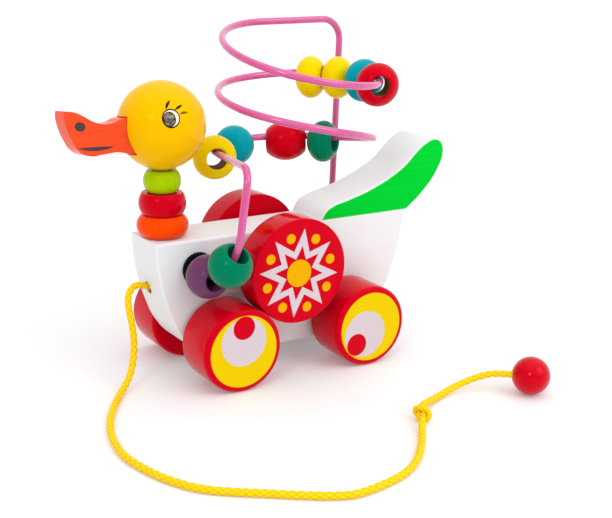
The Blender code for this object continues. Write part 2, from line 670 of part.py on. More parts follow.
def add_cord(parent, group):
    hole_z = DECK_Z - CORD_HOLE_BELOW_DECK
    inside = Vector((bow_x(hole_z) + CORD_HOLE_DEPTH - TOUCH_GAP, CORD_HOLE_Y, hole_z))
    mouth = Vector((bow_x(hole_z), CORD_HOLE_Y, hole_z + CORD_LIFT_IN_HOLE))
    floor = (CORD_DIAMETER / 2 + FLOOR_GAP) / MM
    hanging = [(-66.6, 2.2, 45.1), (-69.4, 1.5, 46.0), (-72.4, 0.4, 45.6), (-74.8, -0.9, 43.9),
               (-76.0, -2.1, 41.3), (-76.3, -3.4, 37.1), (-75.7, -4.6, 31.5), (-75.1, -6.0, 22.0),
               (-76.4, -7.4, 12.2), (-80.3, -10.2, 4.8), (-87.9, -17.6, floor)]
    lying = [(-98.5, -33.4), (-105.5, -47.6), (-109.5, -60.2), (-111.7, -75.2), (-109.6, -91.4),
             (-105.0, -105.4), (-98.6, -116.3), (-90.2, -124.0), (-80.6, -130.9), (-68.7, -139.6),
             (-56.5, -147.3), (-46.5, -150.0), (-25.9, -146.3), (-11.2, -138.0), (2.3, -123.9), (8.4, -115.8)]
    knot = Vector((16.3 * MM, -105.7 * MM, KNOT_HEIGHT / 2 + FLOOR_GAP))
    along = Vector((0.62, 0.78, 0.0)).normalized()
    clear = KNOT_LENGTH / 2 + TOUCH_GAP
    route = [inside, mouth] + millimetres(hanging) + millimetres([(x, y, floor) for x, y in lying])
    route.append(knot - along * clear)
    radius = CORD_DIAMETER / 2
    tube("cord_lead", smooth_route(route, LEAD_SPACING), radius, "cord_yellow", parent, group)

    ball_place = Vector((79.9 * MM, -105.5 * MM, BALL_DIAMETER / 2 + FLOOR_GAP))
    entry = Vector((-0.78, 0.62, 0.0)).normalized()
    seat = ball_place + entry * (BALL_DIAMETER / 2 - BALL_HOLE_DEPTH + TOUCH_GAP)
    leaving = ball_place + entry * (BALL_DIAMETER / 2 + SIDE_GAP)
    rising = millimetres([(35.4, -91.5, 2.1), (48.6, -88.2, 3.4), (58.3, -89.2, 5.8), (66.6, -92.6, 8.0)])
    tail = [knot + along * clear] + rising + [leaving, seat]
    tube("cord_tail", smooth_route(tail, TAIL_SPACING), radius, "cord_yellow", parent, group)

    half = KNOT_LENGTH / 2
    profile = [(0.0, half)] + arc(0.0, 0.0, KNOT_HEIGHT / 2, half, 60, -60, 6) + [(0.0, -half)]
    lump = turned("cord_knot", profile, False, 12, "cord_yellow", parent, group)
    lump.rotation_mode = "QUATERNION"
    lump.rotation_quaternion = along.to_track_quat("Z", "Y")
    lump.location = knot

    ball_radius = BALL_DIAMETER / 2
    hole = BALL_HOLE_DIAMETER / 2
    rim_deg = math.degrees(math.acos(hole / ball_radius))
    floor_z = ball_radius - BALL_HOLE_DEPTH
    profile = [(0.0, floor_z), (hole, floor_z)]
    profile += arc(0.0, 0.0, ball_radius, ball_radius, rim_deg, -90, 12)
    ball = turned("pull_ball", profile, False, BEAD_STEPS + 4, "red", parent, group)
    ball.rotation_mode = "QUATERNION"
    ball.rotation_quaternion = entry.to_track_quat("Z", "Y")
    ball.location = ball_place


def main():
    clear_scene()
    pieces = collection("pull_along_maze_toy")
    cutters = collection("cutters")
    box_centre_x = (TAIL_TIP_X + HEAD_FRONT_X - BEAK_LENGTH) / 2
    near_reach = knee_bead_place()[0].y - ROUND_BEAD[0] / 2
    far_reach = coil_point(SECOND_BEAD_DEG).y + ROUND_BEAD[0] / 2
    box_centre_y = (far_reach + near_reach) / 2
    toy = empty("toy", (-box_centre_x, -box_centre_y, 0.0), pieces)
    add_body(toy, pieces, cutters)
    add_neck_and_head(toy, pieces, cutters)
    add_wheel_pair("front", FRONT_AXLE_X, toy, pieces)
    add_wheel_pair("rear", REAR_AXLE_X, toy, pieces)
    add_side_discs(toy, pieces)
    add_maze(toy, pieces)
    add_cord(toy, pieces)


main()
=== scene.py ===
"""The looks of the pull-along duck with a bead maze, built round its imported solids.

Metres, +Z up; the duck faces -X and its left side is -Y.  Sizes are written in millimetres times MM.  A
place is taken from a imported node, or is written in the toy's own frame: on the floor, midway between the
axles, on the body's mid-plane.
"""
import json
import math

import bmesh
import bpy
import numpy as np
from mathutils import Matrix, Vector, geometry


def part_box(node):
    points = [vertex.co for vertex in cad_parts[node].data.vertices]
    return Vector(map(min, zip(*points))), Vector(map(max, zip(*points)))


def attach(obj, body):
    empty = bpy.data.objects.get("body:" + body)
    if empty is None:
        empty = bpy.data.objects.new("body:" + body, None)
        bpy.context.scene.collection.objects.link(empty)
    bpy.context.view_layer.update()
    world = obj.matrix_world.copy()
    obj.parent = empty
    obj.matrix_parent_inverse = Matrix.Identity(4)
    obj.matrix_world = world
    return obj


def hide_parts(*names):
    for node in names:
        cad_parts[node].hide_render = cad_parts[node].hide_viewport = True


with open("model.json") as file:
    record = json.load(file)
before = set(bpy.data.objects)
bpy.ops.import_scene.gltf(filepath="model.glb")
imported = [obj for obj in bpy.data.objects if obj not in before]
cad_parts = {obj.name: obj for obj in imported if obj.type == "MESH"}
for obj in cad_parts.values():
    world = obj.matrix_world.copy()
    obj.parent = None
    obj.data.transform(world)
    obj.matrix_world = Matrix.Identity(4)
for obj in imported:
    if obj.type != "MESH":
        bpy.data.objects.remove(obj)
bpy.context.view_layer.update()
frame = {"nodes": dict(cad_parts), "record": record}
JOINTS = frame["record"]["behaviour"]["joints"]
MOUNTS = {mount["name"]: mount for mount in frame["record"]["mounts"]}
MM = 0.001
UP = Vector((0.0, 0.0, 1.0))


def middle(node):
    low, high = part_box(node)
    return (Vector(low) + Vector(high)) / 2


def extent(node):
    low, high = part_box(node)
    return Vector(high) - Vector(low)


# The toy's own frame
FRONT_HUB = middle("front_axle")
REAR_HUB = middle("rear_axle")
TOY = Vector(((FRONT_HUB.x + REAR_HUB.x) / 2, FRONT_HUB.y, 0.0))
BELLY_Z = MOUNTS["belly_face"]["pos_m"][2]
DECK_ABOVE_BELLY = 58.95 * MM
DECK_Z = BELLY_Z + DECK_ABOVE_BELLY
HALF_BODY = extent("body_plank").y / 2
SIDES = (("left", -1), ("right", 1))


def at(x, y, z):
    """A place in the toy's own frame, given in millimetres."""
    return TOY + Vector((x, y, z)) * MM


# Camera: the photograph's view, from its fitted perspective
IMAGE_WIDTH = 612
FOCAL_PIXELS = 1198.0
SENSOR = 36.0
VIEW_AZIMUTH = math.radians(-32.80)
VIEW_ELEVATION = math.radians(16.35)
VIEW_ROLL = math.radians(1.33)
VIEW_TARGET = at(22.08, 0.0, 46.07)
VIEW_DISTANCE = 601.1 * MM

# Paint: the share of white in a paint's shine, and where the tail's green paint ends above the deck
GLOSS_WHITE = 0.12
TAIL_PAINT_LIFT, TAIL_PAINT_WOBBLE = 0.4 * MM, 0.8 * MM
NOISE_LOW, NOISE_HIGH = 0.3, 0.7

# Paint colours as 8-bit sRGB
PALETTE = {
    "white": (230, 232, 234),
    "red": (204, 0, 26),
    "yellow": (240, 184, 0),
    "lemon": (238, 208, 0),
    "beak_orange": (236, 78, 40),
    "orange": (246, 72, 2),
    "lime": (162, 198, 0),
    "pink": (208, 78, 144),
    "purple": (108, 62, 98),
    "green": (0, 122, 86),
    "teal": (0, 154, 168),
    "black": (12, 12, 14),
    "tail_green": (0, 204, 50),
    "print_white": (208, 196, 202),
    "print_yellow": (230, 196, 0),
    "star_yellow": (230, 168, 0),
    "print_grey": (70, 60, 64),
    "iris_dark": (36, 30, 28),
    "iris_pale": (176, 164, 150),
    "eye_white": (240, 222, 208),
    "eye_ink": (40, 22, 10),
    "eye_ink_thin": (112, 84, 22),
    "birch": (214, 176, 126),
    # Bare wood darkened with painted shade, for the inside of the bead bores
    "bore": (128, 92, 40),
    "cord": (250, 208, 0),
    # Painted shade: the colour of the cord's grooves between the plaits
    "cord_groove": (212, 156, 0),
    "floor": (226, 226, 228),
}

PIECES = bpy.data.collections.new("looks")
bpy.context.scene.collection.children.link(PIECES)


def linear(name):
    """A palette colour as linear RGBA."""
    channels = []
    for value in PALETTE[name]:
        share = value / 255
        channels.append(share / 12.92 if share <= 0.04045 else ((share + 0.055) / 1.055) ** 2.4)
    return (*channels, 1.0)


def shaded(colour, factor):
    return (*(min(1.0, channel * factor) for channel in colour[:3]), 1.0)


def set_sockets(tree, made, sockets):
    """Fills a node's inputs: a socket is linked, and any other value is set on the input itself."""
    for key, value in sockets.items():
        if isinstance(value, bpy.types.NodeSocket):
            tree.links.new(value, made.inputs[key])
        else:
            made.inputs[key].default_value = value


def add_node(tree, kind, sockets=None, **settings):
    made = tree.nodes.new(kind)
    for key, value in settings.items():
        setattr(made, key, value)
    set_sockets(tree, made, sockets or {})
    return made


def ramp(tree, factor, stops):
    """A colour ramp through (position, colour) stops."""
    made = add_node(tree, "ShaderNodeValToRGB", {"Fac": factor})
    elements = made.color_ramp.elements
    while len(elements) < len(stops):
        elements.new(0.5)
    for element, (position, colour) in zip(elements, stops):
        element.position = position
        element.color = colour
    return made.outputs["Color"]


def noise(tree, scale, detail, stretch=(1.0, 1.0, 1.0)):
    """A noise fixed to the object, stretched along its grain."""
    place = add_node(tree, "ShaderNodeTexCoord").outputs["Object"]
    place = add_node(tree, "ShaderNodeMapping", {"Vector": place, "Scale": stretch}).outputs["Vector"]
    return add_node(tree, "ShaderNodeTexNoise",
                    {"Vector": place, "Scale": scale, "Detail": detail, "Roughness": 0.55}).outputs["Fac"]


def calculate(tree, operation, *values):
    return add_node(tree, "ShaderNodeMath", dict(enumerate(values)), operation=operation).outputs["Value"]


def map_range(tree, value, from_low, from_high, low=0.0, high=1.0):
    return add_node(tree, "ShaderNodeMapRange", {"Value": value, "From Min": from_low, "From Max": from_high,
                                                 "To Min": low, "To Max": high}).outputs["Result"]


def spread(tree, factor, low, high):
    """Maps the middle of a noise onto a range."""
    return map_range(tree, factor, NOISE_LOW, NOISE_HIGH, low, high)


def tinted(tree, factor, colour, low, high):
    """A colour that is shaded from low to high over the middle of a noise."""
    return ramp(tree, factor, [(NOISE_LOW, shaded(colour, low)), (NOISE_HIGH, shaded(colour, high))])


def relief(tree, height, strength, depth):
    return add_node(tree, "ShaderNodeBump",
                    {"Height": height, "Strength": strength, "Distance": depth}).outputs["Normal"]


def new_material(name):
    made = bpy.data.materials.new(name)
    made.use_nodes = True
    return made, made.node_tree


def finished(made, sockets):
    """A material whose shader is filled in."""
    set_sockets(made.node_tree, made.node_tree.nodes["Principled BSDF"], sockets)
    return made


def gloss_tint(colour):
    """The colour of a deep paint's shine: mostly the paint's own, scaled to its brightest channel."""
    brightest = max(colour[:3])
    return (*(GLOSS_WHITE + (1.0 - GLOSS_WHITE) * channel / brightest for channel in colour[:3]), 1.0)


def lacquer(name, colour_name, grain=(1.0, 1.0, 0.06), tone=0.08, roughness=0.19, gloss=0.14):
    """Gloss paint on wood: faint grain in tone and surface, and an uneven gloss."""
    made, tree = new_material(name)
    colour = linear(colour_name)
    fibre = noise(tree, 900.0, 4.0, grain)
    cloud = noise(tree, 90.0, 2.0)
    return finished(made, {
        "Base Color": tinted(tree, fibre, colour, 1.0 - tone, 1.0 + tone * 0.5),
        "Roughness": spread(tree, cloud, roughness * 0.8, roughness * 1.25),
        "Normal": relief(tree, fibre, 0.35, 0.015 * MM),
        "Specular IOR Level": gloss, "Specular Tint": gloss_tint(colour)})


def body_paint(name):
    """Thin white paint with the board's grain showing, and the green painted sides of the tail."""
    made, tree = new_material(name)
    fibre = noise(tree, 700.0, 5.0, (0.05, 1.0, 1.0))
    broad = noise(tree, 60.0, 3.0, (0.15, 1.0, 1.0))
    grain = calculate(tree, "MULTIPLY_ADD", fibre, broad, 0.25)
    coords = add_node(tree, "ShaderNodeTexCoord").outputs
    height = add_node(tree, "ShaderNodeSeparateXYZ", {"Vector": coords["Object"]}).outputs["Z"]
    facing = add_node(tree, "ShaderNodeSeparateXYZ", {"Vector": coords["Normal"]}).outputs["Y"]
    on_side = map_range(tree, calculate(tree, "ABSOLUTE", facing), 0.80, 0.92)
    paint_line = calculate(tree, "MULTIPLY_ADD", broad, TAIL_PAINT_WOBBLE, DECK_Z + TAIL_PAINT_LIFT)
    on_tail = map_range(tree, calculate(tree, "SUBTRACT", height, paint_line), 0.0, 0.25 * MM)
    blend = add_node(tree, "ShaderNodeMixRGB", {
        "Fac": calculate(tree, "MULTIPLY", on_side, on_tail),
        "Color1": tinted(tree, grain, linear("white"), 0.965, 1.0),
        "Color2": tinted(tree, grain, linear("tail_green"), 0.88, 1.05)}).outputs["Color"]
    return finished(made, {
        "Base Color": blend, "Specular Tint": blend, "Specular IOR Level": 0.08,
        "Roughness": spread(tree, broad, 0.34, 0.48), "Normal": relief(tree, fibre, 0.3, 0.02 * MM)})


def iris_print(name):
    """A mottled print of dark and pale specks."""
    made, tree = new_material(name)
    specks = calculate(tree, "MULTIPLY", noise(tree, 2400.0, 3.0), noise(tree, 500.0, 2.0))
    tint = ramp(tree, specks, [(0.20, linear("iris_dark")), (0.36, linear("iris_pale"))])
    return finished(made, {"Base Color": tint, "Roughness": 0.35, "Specular IOR Level": 0.2})


def bare_wood(name, colour_name):
    made, tree = new_material(name)
    fibre = noise(tree, 800.0, 6.0, (1.0, 1.0, 0.05))
    return finished(made, {"Base Color": tinted(tree, fibre, linear(colour_name), 0.72, 1.1),
                           "Normal": relief(tree, fibre, 0.6, 0.06 * MM), "Roughness": 0.7})


def braid_material(name):
    """Fine-fibred yarn with painted shade between the plaits and a faint painted highlight on their tops."""
    made, tree = new_material(name)
    colour = linear("cord")
    height = add_node(tree, "ShaderNodeAttribute", attribute_name="plait").outputs["Fac"]
    # Painted shade and highlight: grooves between the plaits drawn darker and plait tops slightly lighter,
    # after the plait height
    tint = ramp(tree, height, [(0.1, linear("cord_groove")), (0.6, colour), (1.0, shaded(colour, 1.04))])
    fibre = noise(tree, 5200.0, 2.0)
    return finished(made, {"Base Color": tint, "Normal": relief(tree, fibre, 0.5, 0.08 * MM),
                           "Roughness": 0.6, "Specular IOR Level": 0.15})


def wire_coating(name):
    made, tree = new_material(name)
    cloud = noise(tree, 160.0, 3.0)
    return finished(made, {"Base Color": tinted(tree, cloud, linear("pink"), 0.97, 1.02),
                           "Roughness": spread(tree, cloud, 0.22, 0.30), "Specular IOR Level": 0.35,
                           "Coat Weight": 1.0, "Coat Roughness": 0.08})


RED = lacquer("red_lacquer", "red", gloss=0.2)
WHEEL_RED = lacquer("wheel_lacquer", "red", roughness=0.13, gloss=0.18)
BALL_RED = lacquer("ball_lacquer", "red", roughness=0.1, gloss=0.55)
YELLOW = lacquer("yellow_lacquer", "yellow", tone=0.04)
LEMON = lacquer("lemon_lacquer", "lemon", tone=0.04)
ORANGE = lacquer("orange_lacquer", "orange", tone=0.07)
BEAK_ORANGE = lacquer("beak_lacquer", "beak_orange", grain=(0.06, 1.0, 1.0), tone=0.10)
LIME = lacquer("lime_lacquer", "lime", tone=0.07)
PURPLE = lacquer("purple_lacquer", "purple")
GREEN = lacquer("green_lacquer", "green")
TEAL = lacquer("teal_lacquer", "teal")
BLACK = lacquer("black_plastic", "black", roughness=0.4)
PRINT_WHITE = lacquer("white_print", "print_white", tone=0.04, roughness=0.4)
PRINT_YELLOW = lacquer("yellow_print", "print_yellow", tone=0.04, roughness=0.38)
PRINT_RED = lacquer("red_print", "red", tone=0.06, roughness=0.36)
STAR_YELLOW = lacquer("star_yellow_print", "star_yellow", tone=0.05, roughness=0.4)
EYE_INK = lacquer("eye_ink_print", "eye_ink", tone=0.05, roughness=0.35)
EYE_INK_THIN = lacquer("thin_eye_ink_print", "eye_ink_thin", tone=0.15, roughness=0.35)
EYE_WHITE = lacquer("eye_white_print", "eye_white", tone=0.04, roughness=0.4)
PRINT_GREY = lacquer("grey_print", "print_grey", tone=0.12, roughness=0.4)
IRIS = iris_print("iris_print")
BODY_PAINT = body_paint("body_paint")
BIRCH = bare_wood("bare_birch", "birch")
# Bore wood: bare wood with painted shade that darkens it inside the bores
BORE_WOOD_PAINTED_SHADE = bare_wood("bored_wood", "bore")
CORD = braid_material("yellow_braid")
PINK = wire_coating("pink_coating")
BEAD_PAINT = {"purple": PURPLE, "green": GREEN, "yellow": LEMON, "teal": TEAL, "red": RED}


def as_mesh(name, shape):
    """A mesh from a bmesh, which is used up, with its faces turned outwards."""
    bmesh.ops.recalc_face_normals(shape, faces=shape.faces)
    mesh = bpy.data.meshes.new(name)
    shape.to_mesh(mesh)
    shape.free()
    return mesh


def add_object(name, data, collection=bpy.context.scene.collection):
    made = bpy.data.objects.new(name, data)
    collection.objects.link(made)
    return made


def add_piece(name, shape, materials, body, nodes, place=None, sharp_deg=35.0):
    """A finished piece from a bmesh: smooth shaded, riding on a body and standing for CAD nodes."""
    return dress(name, as_mesh(name, shape), materials, body, nodes, place, sharp_deg)


def dress(name, mesh, materials, body, nodes, place=None, sharp_deg=35.0):
    for index, paint in enumerate(materials):
        if index < len(mesh.materials):
            mesh.materials[index] = paint
        else:
            mesh.materials.append(paint)
    mesh.shade_smooth()
    mesh.set_sharp_from_angle(angle=math.radians(sharp_deg))
    piece = add_object(name, mesh, PIECES)
    if place is not None:
        piece.matrix_world = place
    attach(piece, body)
    if nodes:
        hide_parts(*nodes)
    return piece


def arc(centre_r, centre_z, half_r, half_z, start_deg, end_deg, steps):
    points = []
    for i in range(steps + 1):
        turn = math.radians(start_deg + (end_deg - start_deg) * i / steps)
        points.append((centre_r + half_r * math.cos(turn), centre_z + half_z * math.sin(turn)))
    return points


def turned(profile, steps, closed=False, zones=()):
    """A bmesh turned round local Z from (radius, height) points; zones give the material of each span."""
    shape = bmesh.new()
    rings = []
    for radius, height in profile:
        count = 1 if radius == 0.0 else steps
        turns = [2 * math.pi * i / steps for i in range(count)]
        rings.append([shape.verts.new((radius * math.cos(t), radius * math.sin(t), height)) for t in turns])
    spans = list(zip(rings, rings[1:] + ([rings[0]] if closed else [])))
    for index, (above, below) in enumerate(spans):
        for i in range(steps):
            j = (i + 1) % steps
            if len(above) == 1:
                corners = [above[0], below[i], below[j]]
            elif len(below) == 1:
                corners = [above[i], below[0], above[j]]
            else:
                corners = [above[i], below[i], below[j], above[j]]
            face = shape.faces.new(corners)
            face.material_index = zones[index] if index < len(zones) else 0
    return shape


def frame_matrix(place, x_axis, y_axis, z_axis):
    return Matrix.Translation(place) @ Matrix((x_axis, y_axis, z_axis)).transposed().to_4x4()


def along_axis(place, direction):
    """A placement whose local Z points along a direction."""
    return Matrix.Translation(place) @ direction.to_track_quat("Z", "Y").to_matrix().to_4x4()


def ellipse(x, y, half_x, half_y, tilt_deg=0.0, steps=40):
    tilt = math.radians(tilt_deg)
    outline = []
    for i in range(steps):
        turn = 2 * math.pi * i / steps
        u, v = half_x * math.cos(turn), half_y * math.sin(turn)
        outline.append(Vector((x + u * math.cos(tilt) - v * math.sin(tilt),
                               y + u * math.sin(tilt) + v * math.cos(tilt))))
    return outline


def circle(x, y, radius, steps):
    return ellipse(x, y, radius, radius, steps=steps)


def inside(point, outline):
    """Whether a flat point lies within a closed outline."""
    found = False
    for a, b in zip(outline, outline[1:] + outline[:1]):
        if (a.y > point.y) != (b.y > point.y):
            if point.x < a.x + (point.y - a.y) * (b.x - a.x) / (b.y - a.y):
                found = not found
    return found


def print_on_cap(shape, radius, height, layers):
    """Closes a turned piece's top with a flat print of (outline, material) layers, later ones on top."""
    points, edges = [], []
    for outline in [circle(0.0, 0.0, radius, WHEEL_STEPS)] + [outline for outline, _ in layers]:
        first = len(points)
        points += outline
        edges += [(first + i, first + (i + 1) % len(outline)) for i in range(len(outline))]
    flat, _, faces, *_ = geometry.delaunay_2d_cdt(points, edges, [], 0, 1e-9)
    corners = [shape.verts.new((p.x, p.y, height)) for p in flat]
    for triangle in faces:
        centre = (flat[triangle[0]] + flat[triangle[1]] + flat[triangle[2]]) / 3
        face = shape.faces.new([corners[i] for i in triangle])
        for outline, paint in layers:
            if inside(centre, outline):
                face.material_index = paint
    bmesh.ops.remove_doubles(shape, verts=shape.verts, dist=0.0005 * MM)


# Wheels and side discs; a wheel's print is circles as (radius, offset, steps, paint), a disc's has two star
# lines as (tip, valley, paint) in shares of the disc's radius
WHEEL_EDGE = 2.0 * MM
DISC_EDGE = 0.5 * MM
AXLE_SEAT_DEPTH = 16.0 * MM
PEG_SEAT_DEPTH = 10.0 * MM
DOWEL_BORE = 4.3 * MM
RIM, SEAT, GOLD, PALE, SPOT = range(5)
WHEEL_STEPS = 96
WHEEL_CIRCLES = ((17.2 * MM, 0.0, WHEEL_STEPS, GOLD), (11.7 * MM, 4.7 * MM, 72, PALE),
                 (5.6 * MM, 11.4 * MM, 48, SPOT))
FRONT_PRINT_DEG = 90.0
REAR_PRINT_DEG = 225.0
STAR_POINTS = 8
STAR_TURN_DEG = -7.0
STAR_OFFSET = Vector((-0.45, -0.81)) * MM
STAR_LINES = ((0.855, 0.44, PALE), (0.525, 0.284, RIM))
STAR_CENTRE, STAR_DOT, STAR_DOT_REACH = 0.262, 0.095, 0.705


def outer_face(node, side):
    """A placement at a node's middle with local Z outwards to the left (-1) or right (+1) and Y up."""
    return frame_matrix(middle(node), Vector((-side, 0.0, 0.0)), UP, Vector((0.0, side, 0.0)))


def wheel_shape(radius, width, edge, seat_depth):
    """A turned wheel without its printed outer face; local +Z is outwards."""
    half = width / 2
    seat_floor = seat_depth - half
    profile = arc(radius - edge, half - edge, edge, edge, 90, 0, 8)
    profile += arc(radius - edge, edge - half, edge, edge, 0, -90, 8)
    zones = [RIM] * len(profile) + [SEAT] * 2
    profile += [(DOWEL_BORE, -half), (DOWEL_BORE, seat_floor), (0.0, seat_floor)]
    return turned(profile, WHEEL_STEPS, zones=zones)


def wheel_print(turn_deg):
    """A yellow disc with a white and a red circle set towards one side, like a wide eye."""
    x, y = math.cos(math.radians(turn_deg)), math.sin(math.radians(turn_deg))
    return [(circle(x * offset, y * offset, radius, steps), paint)
            for radius, offset, steps, paint in WHEEL_CIRCLES]


def star_spot(step, reach):
    turn = math.radians(STAR_TURN_DEG + 180.0 * step / STAR_POINTS)
    return STAR_OFFSET + Vector((math.cos(turn), math.sin(turn))) * reach


def star_print(radius):
    """An outlined white star with a yellow centre and dots between its points."""
    layers = []
    for tip, valley, paint in STAR_LINES:
        outline = [star_spot(i, (valley if i % 2 else tip) * radius) for i in range(2 * STAR_POINTS)]
        layers.append((outline, paint))
    layers.append((circle(*STAR_OFFSET, STAR_CENTRE * radius, 48), GOLD))
    for i in range(STAR_POINTS):
        spot = star_spot(2 * i + 1, STAR_DOT_REACH * radius)
        layers.append((circle(*spot, STAR_DOT * radius, 24), GOLD))
    return layers


def add_wheels():
    star_layers = star_print(extent("side_disc_left").z / 2)
    for name, bodies, edge, seat_depth, layers, yellow in (
            ("front_wheel", ("front_wheelset", "front_wheelset"), WHEEL_EDGE, AXLE_SEAT_DEPTH,
             wheel_print(FRONT_PRINT_DEG), PRINT_YELLOW),
            ("rear_wheel", ("rear_wheelset", "rear_wheelset"), WHEEL_EDGE, AXLE_SEAT_DEPTH,
             wheel_print(REAR_PRINT_DEG), PRINT_YELLOW),
            ("side_disc", ("disc_left", "disc_right"), DISC_EDGE, PEG_SEAT_DEPTH, star_layers, STAR_YELLOW)):
        for (side_name, side), body in zip(SIDES, bodies):
            node = f"{name}_{side_name}"
            size = extent(node)
            shape = wheel_shape(size.z / 2, size.y, edge, seat_depth)
            print_on_cap(shape, size.z / 2 - edge, size.y / 2, layers)
            paints = [WHEEL_RED, BIRCH, yellow, PRINT_WHITE, PRINT_RED]
            add_piece(f"{node}_printed", shape, paints, body, [node], outer_face(node, side))


# Body board, in the toy's own frame
BODY_EDGE = 1.4 * MM
NOSE_X, STERN_X, TAIL_TIP_X, TAIL_STEP_X = -67.0 * MM, 72.6 * MM, 96.1 * MM, 21.2 * MM
TAIL_TIP_RISE = 35.9 * MM
BELLY_FROM_NOSE, BELLY_FROM_STERN = 35.0 * MM, 38.6 * MM
CORD_HOLE_RADIUS = 3.0 * MM
CORD_HOLE_DEPTH = 6.0 * MM
CORD_HOLE = (-63.33, 2.5, 43.35)
CORD_LIFT_IN_HOLE = 0.6
PEG_IN_BODY = 11.3 * MM
NECK_BORE_DEPTH = 13.3 * MM
WIRE_BORE = 2.05 * MM
WIRE_BORE_DEPTH = 8.3 * MM
CURVED, CORNER = ("AUTO", "AUTO"), ("VECTOR", "VECTOR")


def curved(x, z, steps):
    """Curved outline points at steps in millimetres from a place."""
    return [(x + dx * MM, z + dz * MM, CURVED) for dx, dz in steps]


def board(name, outline, thickness, edge, grow=0.0):
    """A flat board in the XZ plane with rounded edges; outline points are (x, z, handle types)."""
    curve = bpy.data.curves.new(name, "CURVE")
    curve.dimensions = "2D"
    curve.fill_mode = "BOTH"
    curve.resolution_u = 14
    curve.bevel_depth = edge
    curve.bevel_resolution = 4
    curve.extrude = thickness / 2 - edge
    curve.offset = grow - edge
    spline = curve.splines.new("BEZIER")
    spline.use_cyclic_u = True
    spline.bezier_points.add(len(outline) - 1)
    for point, (x, z, handles) in zip(spline.bezier_points, outline):
        point.co = (x, z, 0.0)
        point.handle_left_type, point.handle_right_type = handles
    flat = add_object(name, curve)
    shape = bmesh.new()
    shape.from_mesh(evaluated_mesh(flat))
    bpy.data.objects.remove(flat)
    bmesh.ops.remove_doubles(shape, verts=shape.verts, dist=0.005 * MM)
    bmesh.ops.transform(shape, matrix=Matrix.Rotation(math.pi / 2, 4, "X"), verts=shape.verts)
    return as_mesh(name, shape)


def evaluated_mesh(piece):
    bpy.context.view_layer.update()
    return bpy.data.meshes.new_from_object(piece.evaluated_get(bpy.context.evaluated_depsgraph_get()))


def drill(radius, start, end, steps=48):
    """A cylinder mesh between two points, for cutting."""
    axis = Vector(end) - Vector(start)
    shape = bmesh.new()
    bmesh.ops.create_cone(shape, cap_ends=True, segments=steps, radius1=radius, radius2=radius,
                          depth=axis.length)
    bmesh.ops.transform(shape, matrix=along_axis((Vector(start) + Vector(end)) / 2, axis), verts=shape.verts)
    return as_mesh("drill", shape)


def carved(mesh, cutters, inside_material):
    """A mesh with cutters taken out of it; the cut faces get a material of their own."""
    block = add_object("block", mesh)
    spare = [block]
    if not mesh.materials:
        mesh.materials.append(None)
    for cutter in cutters:
        cutter.materials.append(inside_material)
        tool = add_object("cutter", cutter)
        spare.append(tool)
        hole = block.modifiers.new("hole", "BOOLEAN")
        hole.operation = "DIFFERENCE"
        hole.solver = "EXACT"
        hole.material_mode = "TRANSFER"
        hole.object = tool
    result = evaluated_mesh(block)
    for used in spare:
        bpy.data.objects.remove(used)
    return result


def body_outline():
    bow = [(0.5, -9.0), (2.7, -21.8), (6.1, -33.0), (11.4, -44.5), (19.9, -53.6)]
    stern = [(-21.6, -51.5), (-10.0, -37.2), (-5.5, -25.5), (-2.4, -13.8)]
    tail = [(-12.4, -27.6), (-3.6, -17.1), (0.0, -6.7), (-2.0, -1.8),
            (-6.1, 0.0), (-12.4, -1.9), (-27.1, -13.6), (-45.4, -22.2), (-58.4, -26.0)]
    step = [(7.3, 7.6), (3.2, 5.2)]
    belly = [(NOSE_X + BELLY_FROM_NOSE, BELLY_Z, ("AUTO", "VECTOR")),
             (STERN_X - BELLY_FROM_STERN, BELLY_Z, ("VECTOR", "AUTO"))]
    return ([(NOSE_X, DECK_Z, CORNER)] + curved(NOSE_X, DECK_Z, bow) + belly
            + curved(STERN_X, DECK_Z, stern) + [(STERN_X, DECK_Z - 0.5 * MM, CORNER)]
            + curved(TAIL_TIP_X, DECK_Z + TAIL_TIP_RISE, tail)
            + curved(TAIL_STEP_X, DECK_Z, step) + [(TAIL_STEP_X, DECK_Z, CORNER)])


def cord_exit():
    """The middle of the cord where it leaves the bow; it lies at the top of its hole."""
    x, y, z = CORD_HOLE
    return at(x, y, z + CORD_LIFT_IN_HOLE)


def add_body():
    mesh = board("body_outline", body_outline(), 2 * HALF_BODY, BODY_EDGE)
    past = HALF_BODY + MM
    cutters = []
    for hub in (FRONT_HUB, REAR_HUB):
        local = hub - TOY
        cutters.append(drill(DOWEL_BORE, (local.x, -past, local.z), (local.x, past, local.z)))
    neck = middle("neck_dowel") - TOY
    cutters.append(drill(DOWEL_BORE, (neck.x, 0.0, DECK_Z - NECK_BORE_DEPTH), (neck.x, 0.0, DECK_Z + MM)))
    for kind, radius, depth in (("wire_socket_", WIRE_BORE, WIRE_BORE_DEPTH),
                                ("disc_peg_", DOWEL_BORE, PEG_IN_BODY)):
        for side_name, side in SIDES:
            local = middle(kind + side_name) - TOY
            floor_y = side * (HALF_BODY - depth)
            cutters.append(drill(radius, (local.x, floor_y, local.z), (local.x, side * past, local.z), 32))
    mouth = Vector(CORD_HOLE) * MM
    cutters.append(drill(CORD_HOLE_RADIUS, mouth + Vector((-3.0 * MM, 0.0, 0.0)),
                         mouth + Vector((CORD_HOLE_DEPTH, 0.0, 0.0))))
    mesh = carved(mesh, cutters, BIRCH)
    piece = dress("body_board", mesh, [BODY_PAINT, BIRCH], "toy", ["body_plank"],
                  Matrix.Translation(TOY))
    flatten_shading(piece)


def flatten_shading(piece):
    """Keeps flat faces flat beside rounded edges."""
    piece.modifiers.new("even_shading", "WEIGHTED_NORMAL").keep_sharp = True


